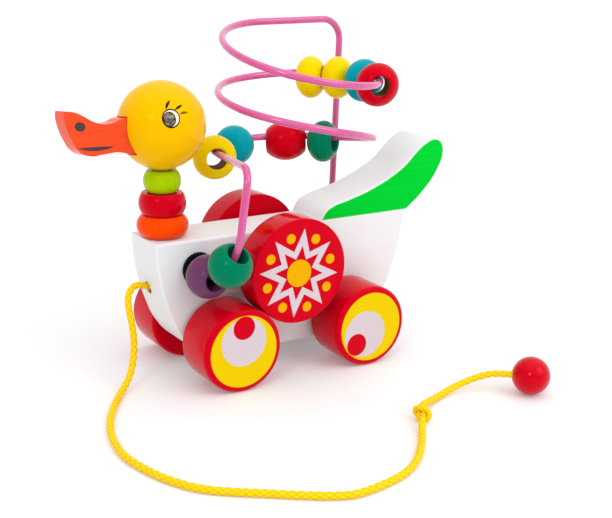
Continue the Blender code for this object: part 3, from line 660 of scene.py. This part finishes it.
# Neck, head and beak
HEAD_RADIUS = extent("head_ball").y / 2
BEAK_EDGE = 0.5 * MM
BEAK_LENGTH = 27.4 * MM
BEAK_IN_HEAD = 9.0 * MM
BEAK_TONGUE_TOP, BEAK_TONGUE_BOTTOM = 7.6 * MM, 9.4 * MM
BEAK_THICKNESS = 11.5 * MM
BEAK_BELOW_HEAD = 2.5 * MM
BEAK_ROLL_DEG = 7.0
SLOT_GAP = 0.35 * MM
DECAL_LIFT = 0.05 * MM
DECAL_ROOT = 0.20 * MM
EYE_AZIMUTH_DEG = -13.3
EYE_HEIGHT_DEG = 17.3
DOWEL_GAP = 0.3 * MM
NECK_BEAD_EDGE = 0.7 * MM
NECK_BEADS = (("lower", 9.3 * MM, ORANGE, "orange_paint"), ("middle", 9.35 * MM, RED, "red_paint"),
              ("upper", 6.7 * MM, LIME, "lime_paint"))

# Prints: eyelashes and beak line as (start, end, bow, width), the rest as (x, y, half width, half height)
INK, PALE_INK, IRIS_INK, THIN_INK = range(4)
EYE_LASHES = (((-1.4, 4.6), (1.1, 8.3), 0.3, 1.2, INK), ((2.5, 3.9), (6.2, 5.8), 0.05, 1.1, INK),
              ((4.4, 1.8), (8.3, 2.3), 0.28, 1.0, THIN_INK))
EYE_OVALS = ((0.15, 0.3, 4.0, 4.25, INK), (0.15, 0.27, 3.5, 3.65, PALE_INK),
             (-0.62, -0.1, 2.8, 3.35, INK), (-0.7, -0.15, 2.4, 2.95, IRIS_INK))
NOSTRIL, NOSTRIL_TILT_DEG = (6.75, 4.95, 2.45, 2.0), -13.0
BEAK_LINE = ((5.6, -4.3), (21.4, -4.75), -0.52, 1.75)
DECAL_MESH = 0.7 * MM
DECAL_CLEAR = 0.25 * MM


def neck_bead_shape(radius, end_radius, half):
    """A bored bead with flat ends, softened corners and a side that bulges in a circular arc."""
    bulge = radius - end_radius
    curve = (half ** 2 + bulge ** 2) / (2 * bulge)
    reach_deg = math.degrees(math.asin(half / curve))
    side = arc(radius - curve, 0.0, curve, curve, reach_deg - 8, 8 - reach_deg, 24)
    top = rounded_corner(Vector((DOWEL_BORE, half)), Vector((end_radius, half)), Vector(side[0]),
                         NECK_BEAD_EDGE, 6)
    profile = [tuple(p) for p in top] + side + [(r, -z) for r, z in reversed(top)]
    profile += [(DOWEL_BORE, -half), (DOWEL_BORE, half)]
    return turned(profile, 72, closed=True, zones=[0] * (len(profile) - 2) + [1])


def add_neck():
    for part, end_radius, paint, slot in NECK_BEADS:
        node = "neck_bead_" + part
        size = extent(node)
        shape = neck_bead_shape(size.x / 2, end_radius, size.z / 2)
        add_piece(f"{node}_turned", shape, [paint, BIRCH], "neck_" + part, [node],
                  Matrix.Translation(middle(node)))


def beak_outline(tip_x):
    """The beak's side view about its own axis, from its tongue in the head round the upturned tip."""
    root_x = tip_x + BEAK_LENGTH + BEAK_IN_HEAD
    upper = [(26.9, 7.2), (22.4, 5.6), (17.8, 5.4), (12.7, 6.95), (8.8, 9.4), (4.4, 11.4)]
    tip = (0.3, 12.0)
    lower = [(0.0, 9.2), (0.6, 5.5), (2.9, -1.0), (6.2, -6.0), (11.0, -8.15), (16.5, -7.85), (24.7, -7.5),
             (30.1, -8.9)]
    return ([(root_x, BEAK_TONGUE_TOP, CORNER)] + curved(tip_x, 0.0, upper)
            + [(tip_x + tip[0] * MM, tip[1] * MM, CORNER)] + curved(tip_x, 0.0, lower)
            + [(root_x, -BEAK_TONGUE_BOTTOM, CORNER)])


def decal(patches, put):
    """Thin closed patches of print: each is (outline, material index), and put() places a flat point."""
    shape = bmesh.new()
    for level, (outline, paint) in enumerate(patches):
        lift = DECAL_LIFT * (1 + 0.6 * level)
        flat, faces = patch_triangles(outline)
        top = [shape.verts.new(put(p.x, p.y, lift)) for p in flat]
        bottom = [shape.verts.new(put(p.x, p.y, -DECAL_ROOT)) for p in flat]
        seen = {}
        for triangle in faces:
            shape.faces.new([top[i] for i in triangle]).material_index = paint
            shape.faces.new([bottom[i] for i in reversed(triangle)]).material_index = paint
            for a, b in zip(triangle, triangle[1:] + triangle[:1]):
                seen[(a, b)] = True
        for a, b in seen:
            if (b, a) not in seen:
                shape.faces.new([top[b], top[a], bottom[a], bottom[b]]).material_index = paint
    return shape


def patch_triangles(outline):
    """An outline filled with small triangles, fine enough to follow a curved surface."""
    low_x, high_x = min(p.x for p in outline), max(p.x for p in outline)
    low_y, high_y = min(p.y for p in outline), max(p.y for p in outline)
    points = list(outline)
    columns, rows = int((high_x - low_x) / DECAL_MESH), int((high_y - low_y) / DECAL_MESH)
    for i in range(1, columns + 1):
        for j in range(1, rows + 1):
            spot = Vector((low_x + i * (high_x - low_x) / (columns + 1),
                           low_y + j * (high_y - low_y) / (rows + 1)))
            clear = min((spot - edge).length for edge in outline)
            if clear > DECAL_CLEAR and inside(spot, outline):
                points.append(spot)
    edges = [(i, (i + 1) % len(outline)) for i in range(len(outline))]
    flat, _, faces, *_ = geometry.delaunay_2d_cdt(points, edges, [], 1, 1e-9)
    return flat, [list(face) for face in faces]


def leaf(start, end, bow, width, steps=12):
    """A stroke in millimetres, swelling in the middle, pointed at both ends and bowed to its left."""
    start, end = Vector(start) * MM, Vector(end) * MM
    across = Vector((start.y - end.y, end.x - start.x)).normalized()
    left, right = [], []
    for i in range(steps + 1):
        share = i / steps
        spine = start.lerp(end, share) + across * bow * MM * 4 * share * (1 - share)
        half = width * MM / 2 * (0.12 + 0.88 * math.sin(math.pi * share) ** 0.8)
        left.append(spine + across * half)
        right.append(spine - across * half)
    return right + left[::-1]


def oval(x, y, half_x, half_y, tilt_deg=0.0):
    return ellipse(x * MM, y * MM, half_x * MM, half_y * MM, tilt_deg)


def eye_patches():
    """The eye print on the head: three lashes, ring, white and iris."""
    return ([(leaf(*stroke), ink) for *stroke, ink in EYE_LASHES]
            + [(oval(*sizes), ink) for *sizes, ink in EYE_OVALS])


def add_head():
    head = middle("neck_dowel") - TOY
    head.z = middle("head_ball").z
    head_place = TOY + head
    tip_x = head.x - HEAD_RADIUS - BEAK_LENGTH
    outline = beak_outline(tip_x)
    beak_frame = Matrix.Translation((0.0, 0.0, head.z - BEAK_BELOW_HEAD))
    beak_frame = beak_frame @ Matrix.Rotation(-math.radians(BEAK_ROLL_DEG), 4, "X")
    mesh = board("beak_outline", outline, BEAK_THICKNESS, BEAK_EDGE)
    flatten_shading(dress("beak_board", mesh, [BEAK_ORANGE], "toy", ["beak"],
                          Matrix.Translation(TOY) @ beak_frame))

    profile = arc(0.0, 0.0, HEAD_RADIUS, HEAD_RADIUS, 90, -90, 64)
    profile[0], profile[-1] = (0.0, HEAD_RADIUS), (0.0, -HEAD_RADIUS)
    mesh = as_mesh("head_ball_turned", turned(profile, 96))
    mesh.transform(Matrix.Translation(head))
    slot = board("beak_slot", outline, BEAK_THICKNESS + 2 * SLOT_GAP, BEAK_EDGE, SLOT_GAP)
    slot.transform(beak_frame)
    dowel_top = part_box("neck_dowel")[1][2] + DOWEL_GAP
    seat = drill(DOWEL_BORE, (head.x, 0.0, head.z - HEAD_RADIUS - MM), (head.x, 0.0, dowel_top))
    mesh = carved(mesh, [slot, seat], BIRCH)
    dress("head_ball_turned", mesh, [YELLOW, BIRCH], "toy", ["head_ball"],
          Matrix.Translation(TOY))

    for side_name, side in SIDES:
        turn, rise = math.radians(EYE_AZIMUTH_DEG), math.radians(EYE_HEIGHT_DEG)
        out = Vector((math.sin(turn) * math.cos(rise), side * math.cos(turn) * math.cos(rise),
                      math.sin(rise)))
        back = (Vector((1.0, 0.0, 0.0)) - out * out.x).normalized()
        up = (UP - out * out.z - back * UP.dot(back)).normalized()

        def on_head(x, y, lift):
            depth = math.sqrt(HEAD_RADIUS ** 2 - x * x - y * y)
            return head_place + (back * x + up * y + out * depth).normalized() * (HEAD_RADIUS + lift)

        shape = decal(eye_patches(), on_head)
        add_piece(f"eye_print_{side_name}", shape, [EYE_INK, EYE_WHITE, IRIS, EYE_INK_THIN], "toy",
                  [])

        def on_beak(x, y, lift):
            return TOY + beak_frame @ Vector((tip_x + x, side * (BEAK_THICKNESS / 2 + lift), y))

        shape = decal([(oval(*NOSTRIL, NOSTRIL_TILT_DEG), INK), (leaf(*BEAK_LINE), INK)], on_beak)
        add_piece(f"beak_print_{side_name}", shape, [PRINT_GREY], "toy", [])


# Maze wire: places in the toy's own frame in millimetres, and nearly level turns joined by long rises
WIRE_RADIUS = 1.75 * MM
NEAR_SOCKET = (-46.1, 54.6)
FAR_SOCKET = (63.2, 55.95)
NEAR_KNEE_Y, NEAR_KNEE_RADIUS = -48.5, 22.0
NEAR_TOP, NEAR_TOP_RADIUS = (-36.6, -44.0, 106.0), 8.0
FAR_TOP, FAR_TOP_RADIUS = (65.6, 40.0, 160.25), 11.0
FAR_KNEE_RADIUS = 14.0
WIRE_INSIDE_Y = 5.5
COIL_X, COIL_RADIUS, COIL_LEAN = 12.9, 38.4, 0.09
COIL_LEVELS = (103.35, 134.05, 160.2)
COIL_SLOPES = ((0.010, -0.037), (0.056, -0.015), (0.025, 0.0))
COIL_RISES_DEG = ((144.0, 428.0), (571.0, 802.0))
COIL_STEP_DEG = 3.0


def smooth_step(share):
    share = min(max(share, 0.0), 1.0)
    return share * share * (3.0 - 2.0 * share)


def coil_point(angle_deg):
    """A point of the coil in millimetres; the angle is 0 at the front (-X) and grows through +Y."""
    turn = math.radians(angle_deg)
    x, y = -COIL_RADIUS * math.cos(turn), COIL_RADIUS * math.sin(turn)
    heights = [level + along * x + across * y for level, (along, across) in zip(COIL_LEVELS, COIL_SLOPES)]
    z = heights[0]
    for i, (start, end) in enumerate(COIL_RISES_DEG):
        z += smooth_step((angle_deg - start) / (end - start)) * (heights[i + 1] - heights[i])
    return Vector((COIL_X + COIL_LEAN * (z - COIL_LEVELS[0]) + x, y, z))


def tangent_angle(post, level, sign):
    dx = post[0] - (COIL_X + COIL_LEAN * (level - COIL_LEVELS[0]))
    reach = math.hypot(dx, post[1])
    return math.degrees(math.atan2(post[1], -dx) + sign * math.acos(COIL_RADIUS / reach))


def rounded_corner(before, corner, after, radius, steps):
    """The arc that rounds off a path's corner."""
    back, ahead = (before - corner).normalized(), (after - corner).normalized()
    half = back.angle(ahead) / 2
    centre = corner + (back + ahead).normalized() * radius / math.sin(half)
    start = corner + back * radius / math.tan(half) - centre
    end = corner + ahead * radius / math.tan(half) - centre
    return [centre + start.slerp(end, i / steps) * radius for i in range(steps + 1)]


def wire_points():
    start = Vector((NEAR_SOCKET[0], -WIRE_INSIDE_Y, NEAR_SOCKET[1]))
    knee = Vector((NEAR_SOCKET[0], NEAR_KNEE_Y, NEAR_SOCKET[1]))
    top, far_top = Vector(NEAR_TOP), Vector(FAR_TOP)
    far_knee = Vector((FAR_SOCKET[0], FAR_TOP[1], FAR_SOCKET[1]))
    end = Vector((FAR_SOCKET[0], WIRE_INSIDE_Y, FAR_SOCKET[1]))
    first = tangent_angle(NEAR_TOP, COIL_LEVELS[0], 1)
    last = 720.0 + tangent_angle(FAR_TOP, COIL_LEVELS[-1], -1)
    turns = round((last - first) / COIL_STEP_DEG)
    coil = [coil_point(first + (last - first) * i / turns) for i in range(turns + 1)]
    points = [start] + rounded_corner(start, knee, top, NEAR_KNEE_RADIUS, 30)
    points += rounded_corner(knee, top, coil[0], NEAR_TOP_RADIUS, 24) + coil
    points += rounded_corner(coil[-1], far_top, far_knee, FAR_TOP_RADIUS, 24)
    points += rounded_corner(far_top, far_knee, end, FAR_KNEE_RADIUS, 24) + [end]
    return [at(*point) for point in points]


def tube_frames(points):
    """Each path point with two axes across the path, carried along without twist, and the distance so far."""
    frames, walked, side = [], 0.0, None
    for i, point in enumerate(points):
        ahead = (points[min(i + 1, len(points) - 1)] - points[max(i - 1, 0)]).normalized()
        if side is None:
            side = ahead.orthogonal().normalized()
        side = (side - ahead * side.dot(ahead)).normalized()
        if i:
            walked += (point - points[i - 1]).length
        frames.append((point, side, ahead.cross(side), walked))
    return frames


def tube(frames, steps, radius_at):
    """A closed tube; radius_at(distance, turn) gives the surface's distance from the path."""
    shape = bmesh.new()
    rings = []
    for point, side, other, walked in frames:
        ring = []
        for k in range(steps):
            turn = 2 * math.pi * k / steps
            reach = radius_at(walked, turn)
            ring.append(shape.verts.new(point + (side * math.cos(turn) + other * math.sin(turn)) * reach))
        rings.append(ring)
    for above, below in zip(rings, rings[1:]):
        for k in range(steps):
            shape.faces.new([above[k], above[(k + 1) % steps], below[(k + 1) % steps], below[k]])
    shape.faces.new(rings[0][::-1])
    shape.faces.new(rings[-1])
    return shape


def add_wire():
    shape = tube(tube_frames(wire_points()), 20, lambda distance, turn: WIRE_RADIUS)
    add_piece("maze_wire_bent", shape, [PINK], "toy", ["maze_wire"])
    for side_name, side in SIDES:
        node = "wire_socket_" + side_name
        size = extent(node)
        half, radius = size.y / 2, size.x / 2
        ring = [(WIRE_BORE, half)] + arc(radius - half, 0.0, half, half, 90, -60, 10) + [(WIRE_BORE, -half)]
        shape = turned(ring, 64, closed=True)
        add_piece(f"{node}_ring", shape, [BLACK], "toy", [node], outer_face(node, side))


# Maze beads: node number, oval section (diameter, bulge) and colour
BEAD_BORE_RADIUS = 4.9 * MM
BEAD_LIP = 0.9 * MM
GROOVE_PITCH = 0.9 * MM
GROOVE_DEPTH = 0.12 * MM
ROUND_BEAD = (20.2 * MM, 20.2 * MM)
LONG_BEAD = (20.2 * MM, 24.2 * MM)
FLAT_BEAD = (21.2 * MM, 15.8 * MM)
BEAD_TURN_DEG = {"07": 6.0, "08": -6.0}
PAINTED_BORES = ("purple", "green")
BEADS = (("01", ROUND_BEAD, "purple"), ("02", ROUND_BEAD, "green"), ("03", FLAT_BEAD, "yellow"),
         ("04", ROUND_BEAD, "teal"), ("05", LONG_BEAD, "red"), ("06", FLAT_BEAD, "green"),
         ("07", FLAT_BEAD, "yellow"), ("08", FLAT_BEAD, "yellow"), ("09", FLAT_BEAD, "teal"),
         ("10", FLAT_BEAD, "red"))


def bead_shape(diameter, bulge):
    """A turned bead with a softly rounded lip at each mouth of its bore, which keeps the drill's grooves."""
    face = BEAD_BORE_RADIUS + BEAD_LIP
    half = bulge / 2 * math.sqrt(1.0 - (2 * face / diameter) ** 2)
    edge_deg = math.degrees(math.acos(2 * face / diameter))
    outer = arc(0.0, 0.0, diameter / 2, bulge / 2, edge_deg, -edge_deg, 30)
    lip_end = half - BEAD_LIP * 0.8
    lip_low = arc(face, -lip_end, BEAD_LIP, BEAD_LIP * 0.8, -100, -180, 4)
    lip_high = arc(face, lip_end, BEAD_LIP, BEAD_LIP * 0.8, 180, 100, 4)
    turns = round(2 * lip_end / (GROOVE_PITCH / 2))
    bore = [(BEAD_BORE_RADIUS + GROOVE_DEPTH * (i % 2), lip_end * (2 * i / turns - 1))
            for i in range(1, turns)]
    zones = [0] * (len(outer) + len(lip_low) - 1) + [1] * (len(bore) + 1) + [0] * len(lip_high)
    return turned(outer + lip_low + bore + lip_high, 64, closed=True, zones=zones)


def add_beads():
    for number, (diameter, bulge), colour in BEADS:
        node, body = "maze_bead_" + number, "bead_" + number
        place = middle(node)
        joint = next(j for j in JOINTS if j["child"] == body)
        direction = Vector(joint["axis"])
        if not joint.get("continuous"):
            turn = Matrix.Rotation(math.radians(BEAD_TURN_DEG.get(number, 0.0)), 3, direction)
            direction = turn @ direction.cross(place - Vector(joint["pos_m"])).normalized()
        # Bores that are not painted get bare wood darkened with painted shade
        bore = BEAD_PAINT[colour] if colour in PAINTED_BORES else BORE_WOOD_PAINTED_SHADE
        add_piece(f"{node}_turned", bead_shape(diameter, bulge), [BEAD_PAINT[colour], bore], body,
                  [node], along_axis(place, direction))


# Pull cord: places in the toy's own frame in millimetres, from the bow to the floor and round to the ball
CORD_RADIUS = 1.65 * MM
CORD_FLOOR = 1.70
CORD_HANGING = ((-66.6, 2.2, 45.1), (-69.4, 1.5, 46.0), (-72.4, 0.4, 45.6), (-74.8, -0.9, 43.9),
                (-76.0, -2.1, 41.3), (-76.3, -3.4, 37.1), (-75.7, -4.6, 31.5), (-75.1, -6.0, 22.0),
                (-76.4, -7.4, 12.2), (-80.3, -10.2, 4.8), (-87.9, -17.6, CORD_FLOOR))
CORD_LYING = ((-98.5, -33.4), (-105.5, -47.6), (-109.5, -60.2), (-111.7, -75.2), (-109.6, -91.4),
              (-105.0, -105.4), (-98.6, -116.3), (-90.2, -124.0), (-80.6, -130.9), (-68.7, -139.6),
              (-56.5, -147.3), (-46.5, -150.0), (-25.9, -146.3), (-11.2, -138.0), (2.3, -123.9),
              (8.4, -115.8))
CORD_RISING = ((35.4, -91.5, 2.1), (48.6, -88.2, 3.4), (58.3, -89.2, 5.8), (66.6, -92.6, 8.0))
BALL, BALL_RADIUS = middle("pull_ball"), extent("pull_ball").x / 2
BALL_ENTRY = Vector((-0.78, 0.62, 0.0)).normalized()
BALL_HOLE_RADIUS = 2.2 * MM
BALL_HOLE_DEPTH = 7.0 * MM
CORD_STEP = 0.36 * MM
PLAITS = 4
PLAIT_LENGTH = 3.5 * MM
PLAIT_DEPTH = 0.32 * MM
CORD_SIDES = 28

# The knot, in millimetres where MM isn't written
KNOT_PLACE = (16.3, -105.7)
KNOT_ALONG = Vector((0.74, 0.67, 0.0)).normalized()
KNOT_REACH = 8.0
KNOT_HALF = 5.0
KNOT_SQUEEZE = 0.78
KNOT_STEP = 0.45
KNOT_ROUNDS = 500
KNOT_PULL, KNOT_PUSH = 0.22, 0.25
KNOT_END = 14.0
KNOT_NEAR = 20.0 * MM
KNOT_DRAW_IN = 4.0 * MM
PATH_SMOOTHING = 60


def catmull_rom(points, steps):
    ends = [points[0] * 2 - points[1]] + points + [points[-1] * 2 - points[-2]]
    fine = []
    for a, b, c, d in zip(ends, ends[1:], ends[2:], ends[3:]):
        for i in range(steps):
            t = i / steps
            fine.append(0.5 * (2 * b + (c - a) * t + (2 * a - 5 * b + 4 * c - d) * t * t
                               + (3 * b - a - 3 * c + d) * t ** 3))
    return fine + [points[-1]]


def respaced(path, step):
    """The same path with its points at an even spacing."""
    walked = np.concatenate([[0.0], np.cumsum(np.linalg.norm(np.diff(path, axis=0), axis=1))])
    places = np.linspace(0.0, walked[-1], round(walked[-1] / step) + 1)
    return np.stack([np.interp(places, walked, path[:, axis]) for axis in range(3)], axis=1)


def tied_knot():
    """An overhand knot's centre line as (along, across, up): a loose trefoil drawn in until it touches."""
    thick = KNOT_SQUEEZE * 2 * CORD_RADIUS / MM
    t = np.linspace(-2.05, 2.05, 120)
    loop = np.stack([0.5 * (t ** 5 - 10 * t), 2.3 * (t ** 3 - 3 * t), 2.0 * (t ** 4 - 4 * t ** 2 + 2)],
                    axis=1)
    path = respaced(np.concatenate([[(-KNOT_END, 0.0, 0.0)], loop, [(KNOT_END, 0.0, 0.0)]]), KNOT_STEP)
    for _ in range(KNOT_ROUNDS):
        path[1:-1] += KNOT_PULL * (path[:-2] + path[2:] - 2 * path[1:-1])
        order = np.arange(len(path))
        apart = np.abs(order[:, None] - order[None]) * KNOT_STEP > 1.5 * thick
        for _ in range(2):
            between = path[:, None] - path[None]
            distance = np.linalg.norm(between, axis=2) + 1e-9
            push = np.where(apart & (distance < thick), (thick - distance) / distance * KNOT_PUSH, 0.0)
            path[1:-1] += (between * push[:, :, None]).sum(axis=1)[1:-1]
        path = respaced(path, KNOT_STEP)
    return path[np.abs(path[:, 0]) <= KNOT_REACH]


def knot_points():
    across = UP.cross(KNOT_ALONG)
    path = tied_knot()
    lift = KNOT_SQUEEZE * CORD_RADIUS / MM + 0.1 - path[:, 2].min()
    middle_place = at(*KNOT_PLACE, lift)
    return [middle_place + (KNOT_ALONG * x + across * y + UP * z) * MM for x, y, z in path.tolist()]


def cord_route():
    """The cord's whole centre line, with the places on it where the knot starts and ends."""
    inside_body = at(*CORD_HOLE) + Vector((CORD_HOLE_DEPTH - 0.5 * MM, 0.0, 0.0))
    lead = [inside_body, cord_exit()] + [at(*p) for p in CORD_HANGING]
    lead += [at(x, y, CORD_FLOOR) for x, y in CORD_LYING]
    tail = [at(*p) for p in CORD_RISING]
    tail += [BALL + BALL_ENTRY * (BALL_RADIUS + 1.5 * MM),
             BALL + BALL_ENTRY * (BALL_RADIUS - BALL_HOLE_DEPTH + 0.5 * MM)]
    knot = knot_points()
    lead = catmull_rom(lead + [knot[0]], 24)
    tail = catmull_rom([knot[-1]] + tail, 24)
    route = respaced(np.array(lead[:-1] + knot + tail[1:]), CORD_STEP)
    from_knot = route - np.array(at(*KNOT_PLACE, 0.0))
    along = from_knot @ np.array(KNOT_ALONG) / MM
    near = np.linalg.norm(from_knot, axis=1) < KNOT_NEAR
    start = np.flatnonzero(near & (along > -KNOT_HALF))[0]
    end = np.flatnonzero(near & (along < KNOT_HALF))[-1]
    for _ in range(PATH_SMOOTHING):
        smooth = route.copy()
        smooth[1:-1] += 0.25 * (route[:-2] + route[2:] - 2 * route[1:-1])
        smooth[start + 1:end] = route[start + 1:end]
        route = smooth
    return [Vector(p) for p in route], start, end


def plait_height(distance, turn):
    """Height of the braid's surface, 0 to 1: two families of plaits that pass over and under."""
    u = (PLAITS * turn + 2 * math.pi * distance / PLAIT_LENGTH) / 2
    v = (PLAITS * turn - 2 * math.pi * distance / PLAIT_LENGTH) / 2
    first, second = abs(math.cos(u)), abs(math.cos(v))
    first_on_top = smooth_step(math.cos(u) * math.cos(v) / 0.4 + 0.5)
    return (first_on_top * first ** 0.6 * (0.5 + 0.5 * second)
            + (1.0 - first_on_top) * second ** 0.6 * (0.5 + 0.5 * first))


def add_cord():
    route, knot_start, knot_end = cord_route()
    frames = tube_frames(route)

    def braided(name, first, last, node):
        heights = []

        def surface(distance, turn):
            height = plait_height(distance, turn)
            heights.append(height)
            before = smooth_step((distance - frames[knot_start][3]) / KNOT_DRAW_IN + 1.0)
            after = smooth_step((frames[knot_end][3] - distance) / KNOT_DRAW_IN + 1.0)
            squeeze = 1.0 - (1.0 - KNOT_SQUEEZE) * min(before, after)
            return CORD_RADIUS * squeeze - PLAIT_DEPTH * (1.0 - height)

        shape = tube(frames[first:last + 1], CORD_SIDES, surface)
        piece = add_piece(name, shape, [CORD], "toy", [node], sharp_deg=80.0)
        # The plait heights also place the painted shade in the grooves and the painted highlight on the plait
        # tops
        piece.data.attributes.new("plait", "FLOAT", "POINT").data.foreach_set("value", heights)
        return piece

    lead = braided("cord_lead_braided", 0, knot_start, "cord_lead")
    knot = braided("cord_knot_tied", knot_start, knot_end, "cord_knot")
    tail = braided("cord_tail_braided", knot_end, len(frames) - 1, "cord_tail")

    rim_deg = math.degrees(math.acos(BALL_HOLE_RADIUS / BALL_RADIUS))
    floor_z = BALL_RADIUS - BALL_HOLE_DEPTH
    profile = [(0.0, floor_z), (BALL_HOLE_RADIUS, floor_z)]
    profile += arc(0.0, 0.0, BALL_RADIUS, BALL_RADIUS, rim_deg, -90, 48)
    profile[-1] = (0.0, -BALL_RADIUS)
    knob = add_piece("pull_ball_turned", turned(profile, 72, zones=[1, 1]), [BALL_RED, BIRCH], "toy",
                     ["pull_ball"], along_axis(BALL, BALL_ENTRY))


def finish_hidden_dowels():
    for node in ("front_axle", "rear_axle", "disc_peg_left", "disc_peg_right", "neck_dowel"):
        slots = frame["nodes"][node].data.materials
        slots.clear()
        slots.append(BIRCH)


# Studio: suns as (name, direction, angle in degrees, strength)
WHITE_LIGHT = (1.0, 1.0, 1.0, 1.0)
BACKDROP_SIDE = (0.54, 0.84, 0.0)
ROOM_LIGHT = (0.58, 1.0)
FLOOR_GLOW = 0.12
FLOOR_HALF = 4.0
SUNS = (("key", (-0.70, -0.52, 0.49), 15.0, 0.6), ("soft_box", (0.35, -0.72, 0.60), 40.0, 0.75),
        ("overhead", (0.0, -0.3, 1.0), 80.0, 0.95))


def add_camera():
    back = Vector((math.sin(VIEW_AZIMUTH) * math.cos(VIEW_ELEVATION),
                   -math.cos(VIEW_AZIMUTH) * math.cos(VIEW_ELEVATION), math.sin(VIEW_ELEVATION)))
    right = UP.cross(back).normalized()
    data = bpy.data.cameras.new("photo_view")
    data.sensor_fit = "HORIZONTAL"
    data.sensor_width = SENSOR
    data.lens = FOCAL_PIXELS * SENSOR / IMAGE_WIDTH
    data.clip_start = 0.01
    camera = add_object("photo_view", data)
    level = frame_matrix(VIEW_TARGET + back * VIEW_DISTANCE, right, back.cross(right), back)
    camera.matrix_world = level @ Matrix.Rotation(VIEW_ROLL, 4, "Z")
    bpy.context.scene.camera = camera


def add_world():
    """A white room, brighter behind the toy than in front of it."""
    world = bpy.data.worlds.new("studio")
    world.use_nodes = True
    tree = world.node_tree
    towards = add_node(tree, "ShaderNodeTexCoord").outputs["Generated"]
    depth = add_node(tree, "ShaderNodeVectorMath", {0: towards, 1: BACKDROP_SIDE}, operation="DOT_PRODUCT")
    strength = map_range(tree, depth.outputs["Value"], -0.6, 0.6, *ROOM_LIGHT)
    set_sockets(tree, tree.nodes["Background"], {"Color": WHITE_LIGHT, "Strength": strength})
    bpy.context.scene.world = world


def add_studio():
    add_world()
    for name, direction, angle_deg, strength in SUNS:
        data = bpy.data.lights.new(name, "SUN")
        data.energy = strength
        data.angle = math.radians(angle_deg)
        add_object(name, data).matrix_world = along_axis(at(0.0, 0.0, 500.0), Vector(direction))
    made, tree = new_material("pale_floor")
    tint = tinted(tree, noise(tree, 40.0, 2.0), linear("floor"), 0.985, 1.0)
    finished(made, {"Base Color": tint, "Roughness": 0.6, "Specular IOR Level": 0.2,
                    "Emission Color": WHITE_LIGHT, "Emission Strength": FLOOR_GLOW})
    shape = bmesh.new()
    bmesh.ops.create_grid(shape, x_segments=1, y_segments=1, size=FLOOR_HALF)
    mesh = as_mesh("floor", shape)
    mesh.materials.append(made)
    add_object("floor", mesh)


add_camera()
add_cord()
add_studio()
add_body()
add_neck()
add_head()
add_wheels()
add_wire()
add_beads()
finish_hidden_dowels()
bpy.context.scene.view_settings.view_transform = "Standard"
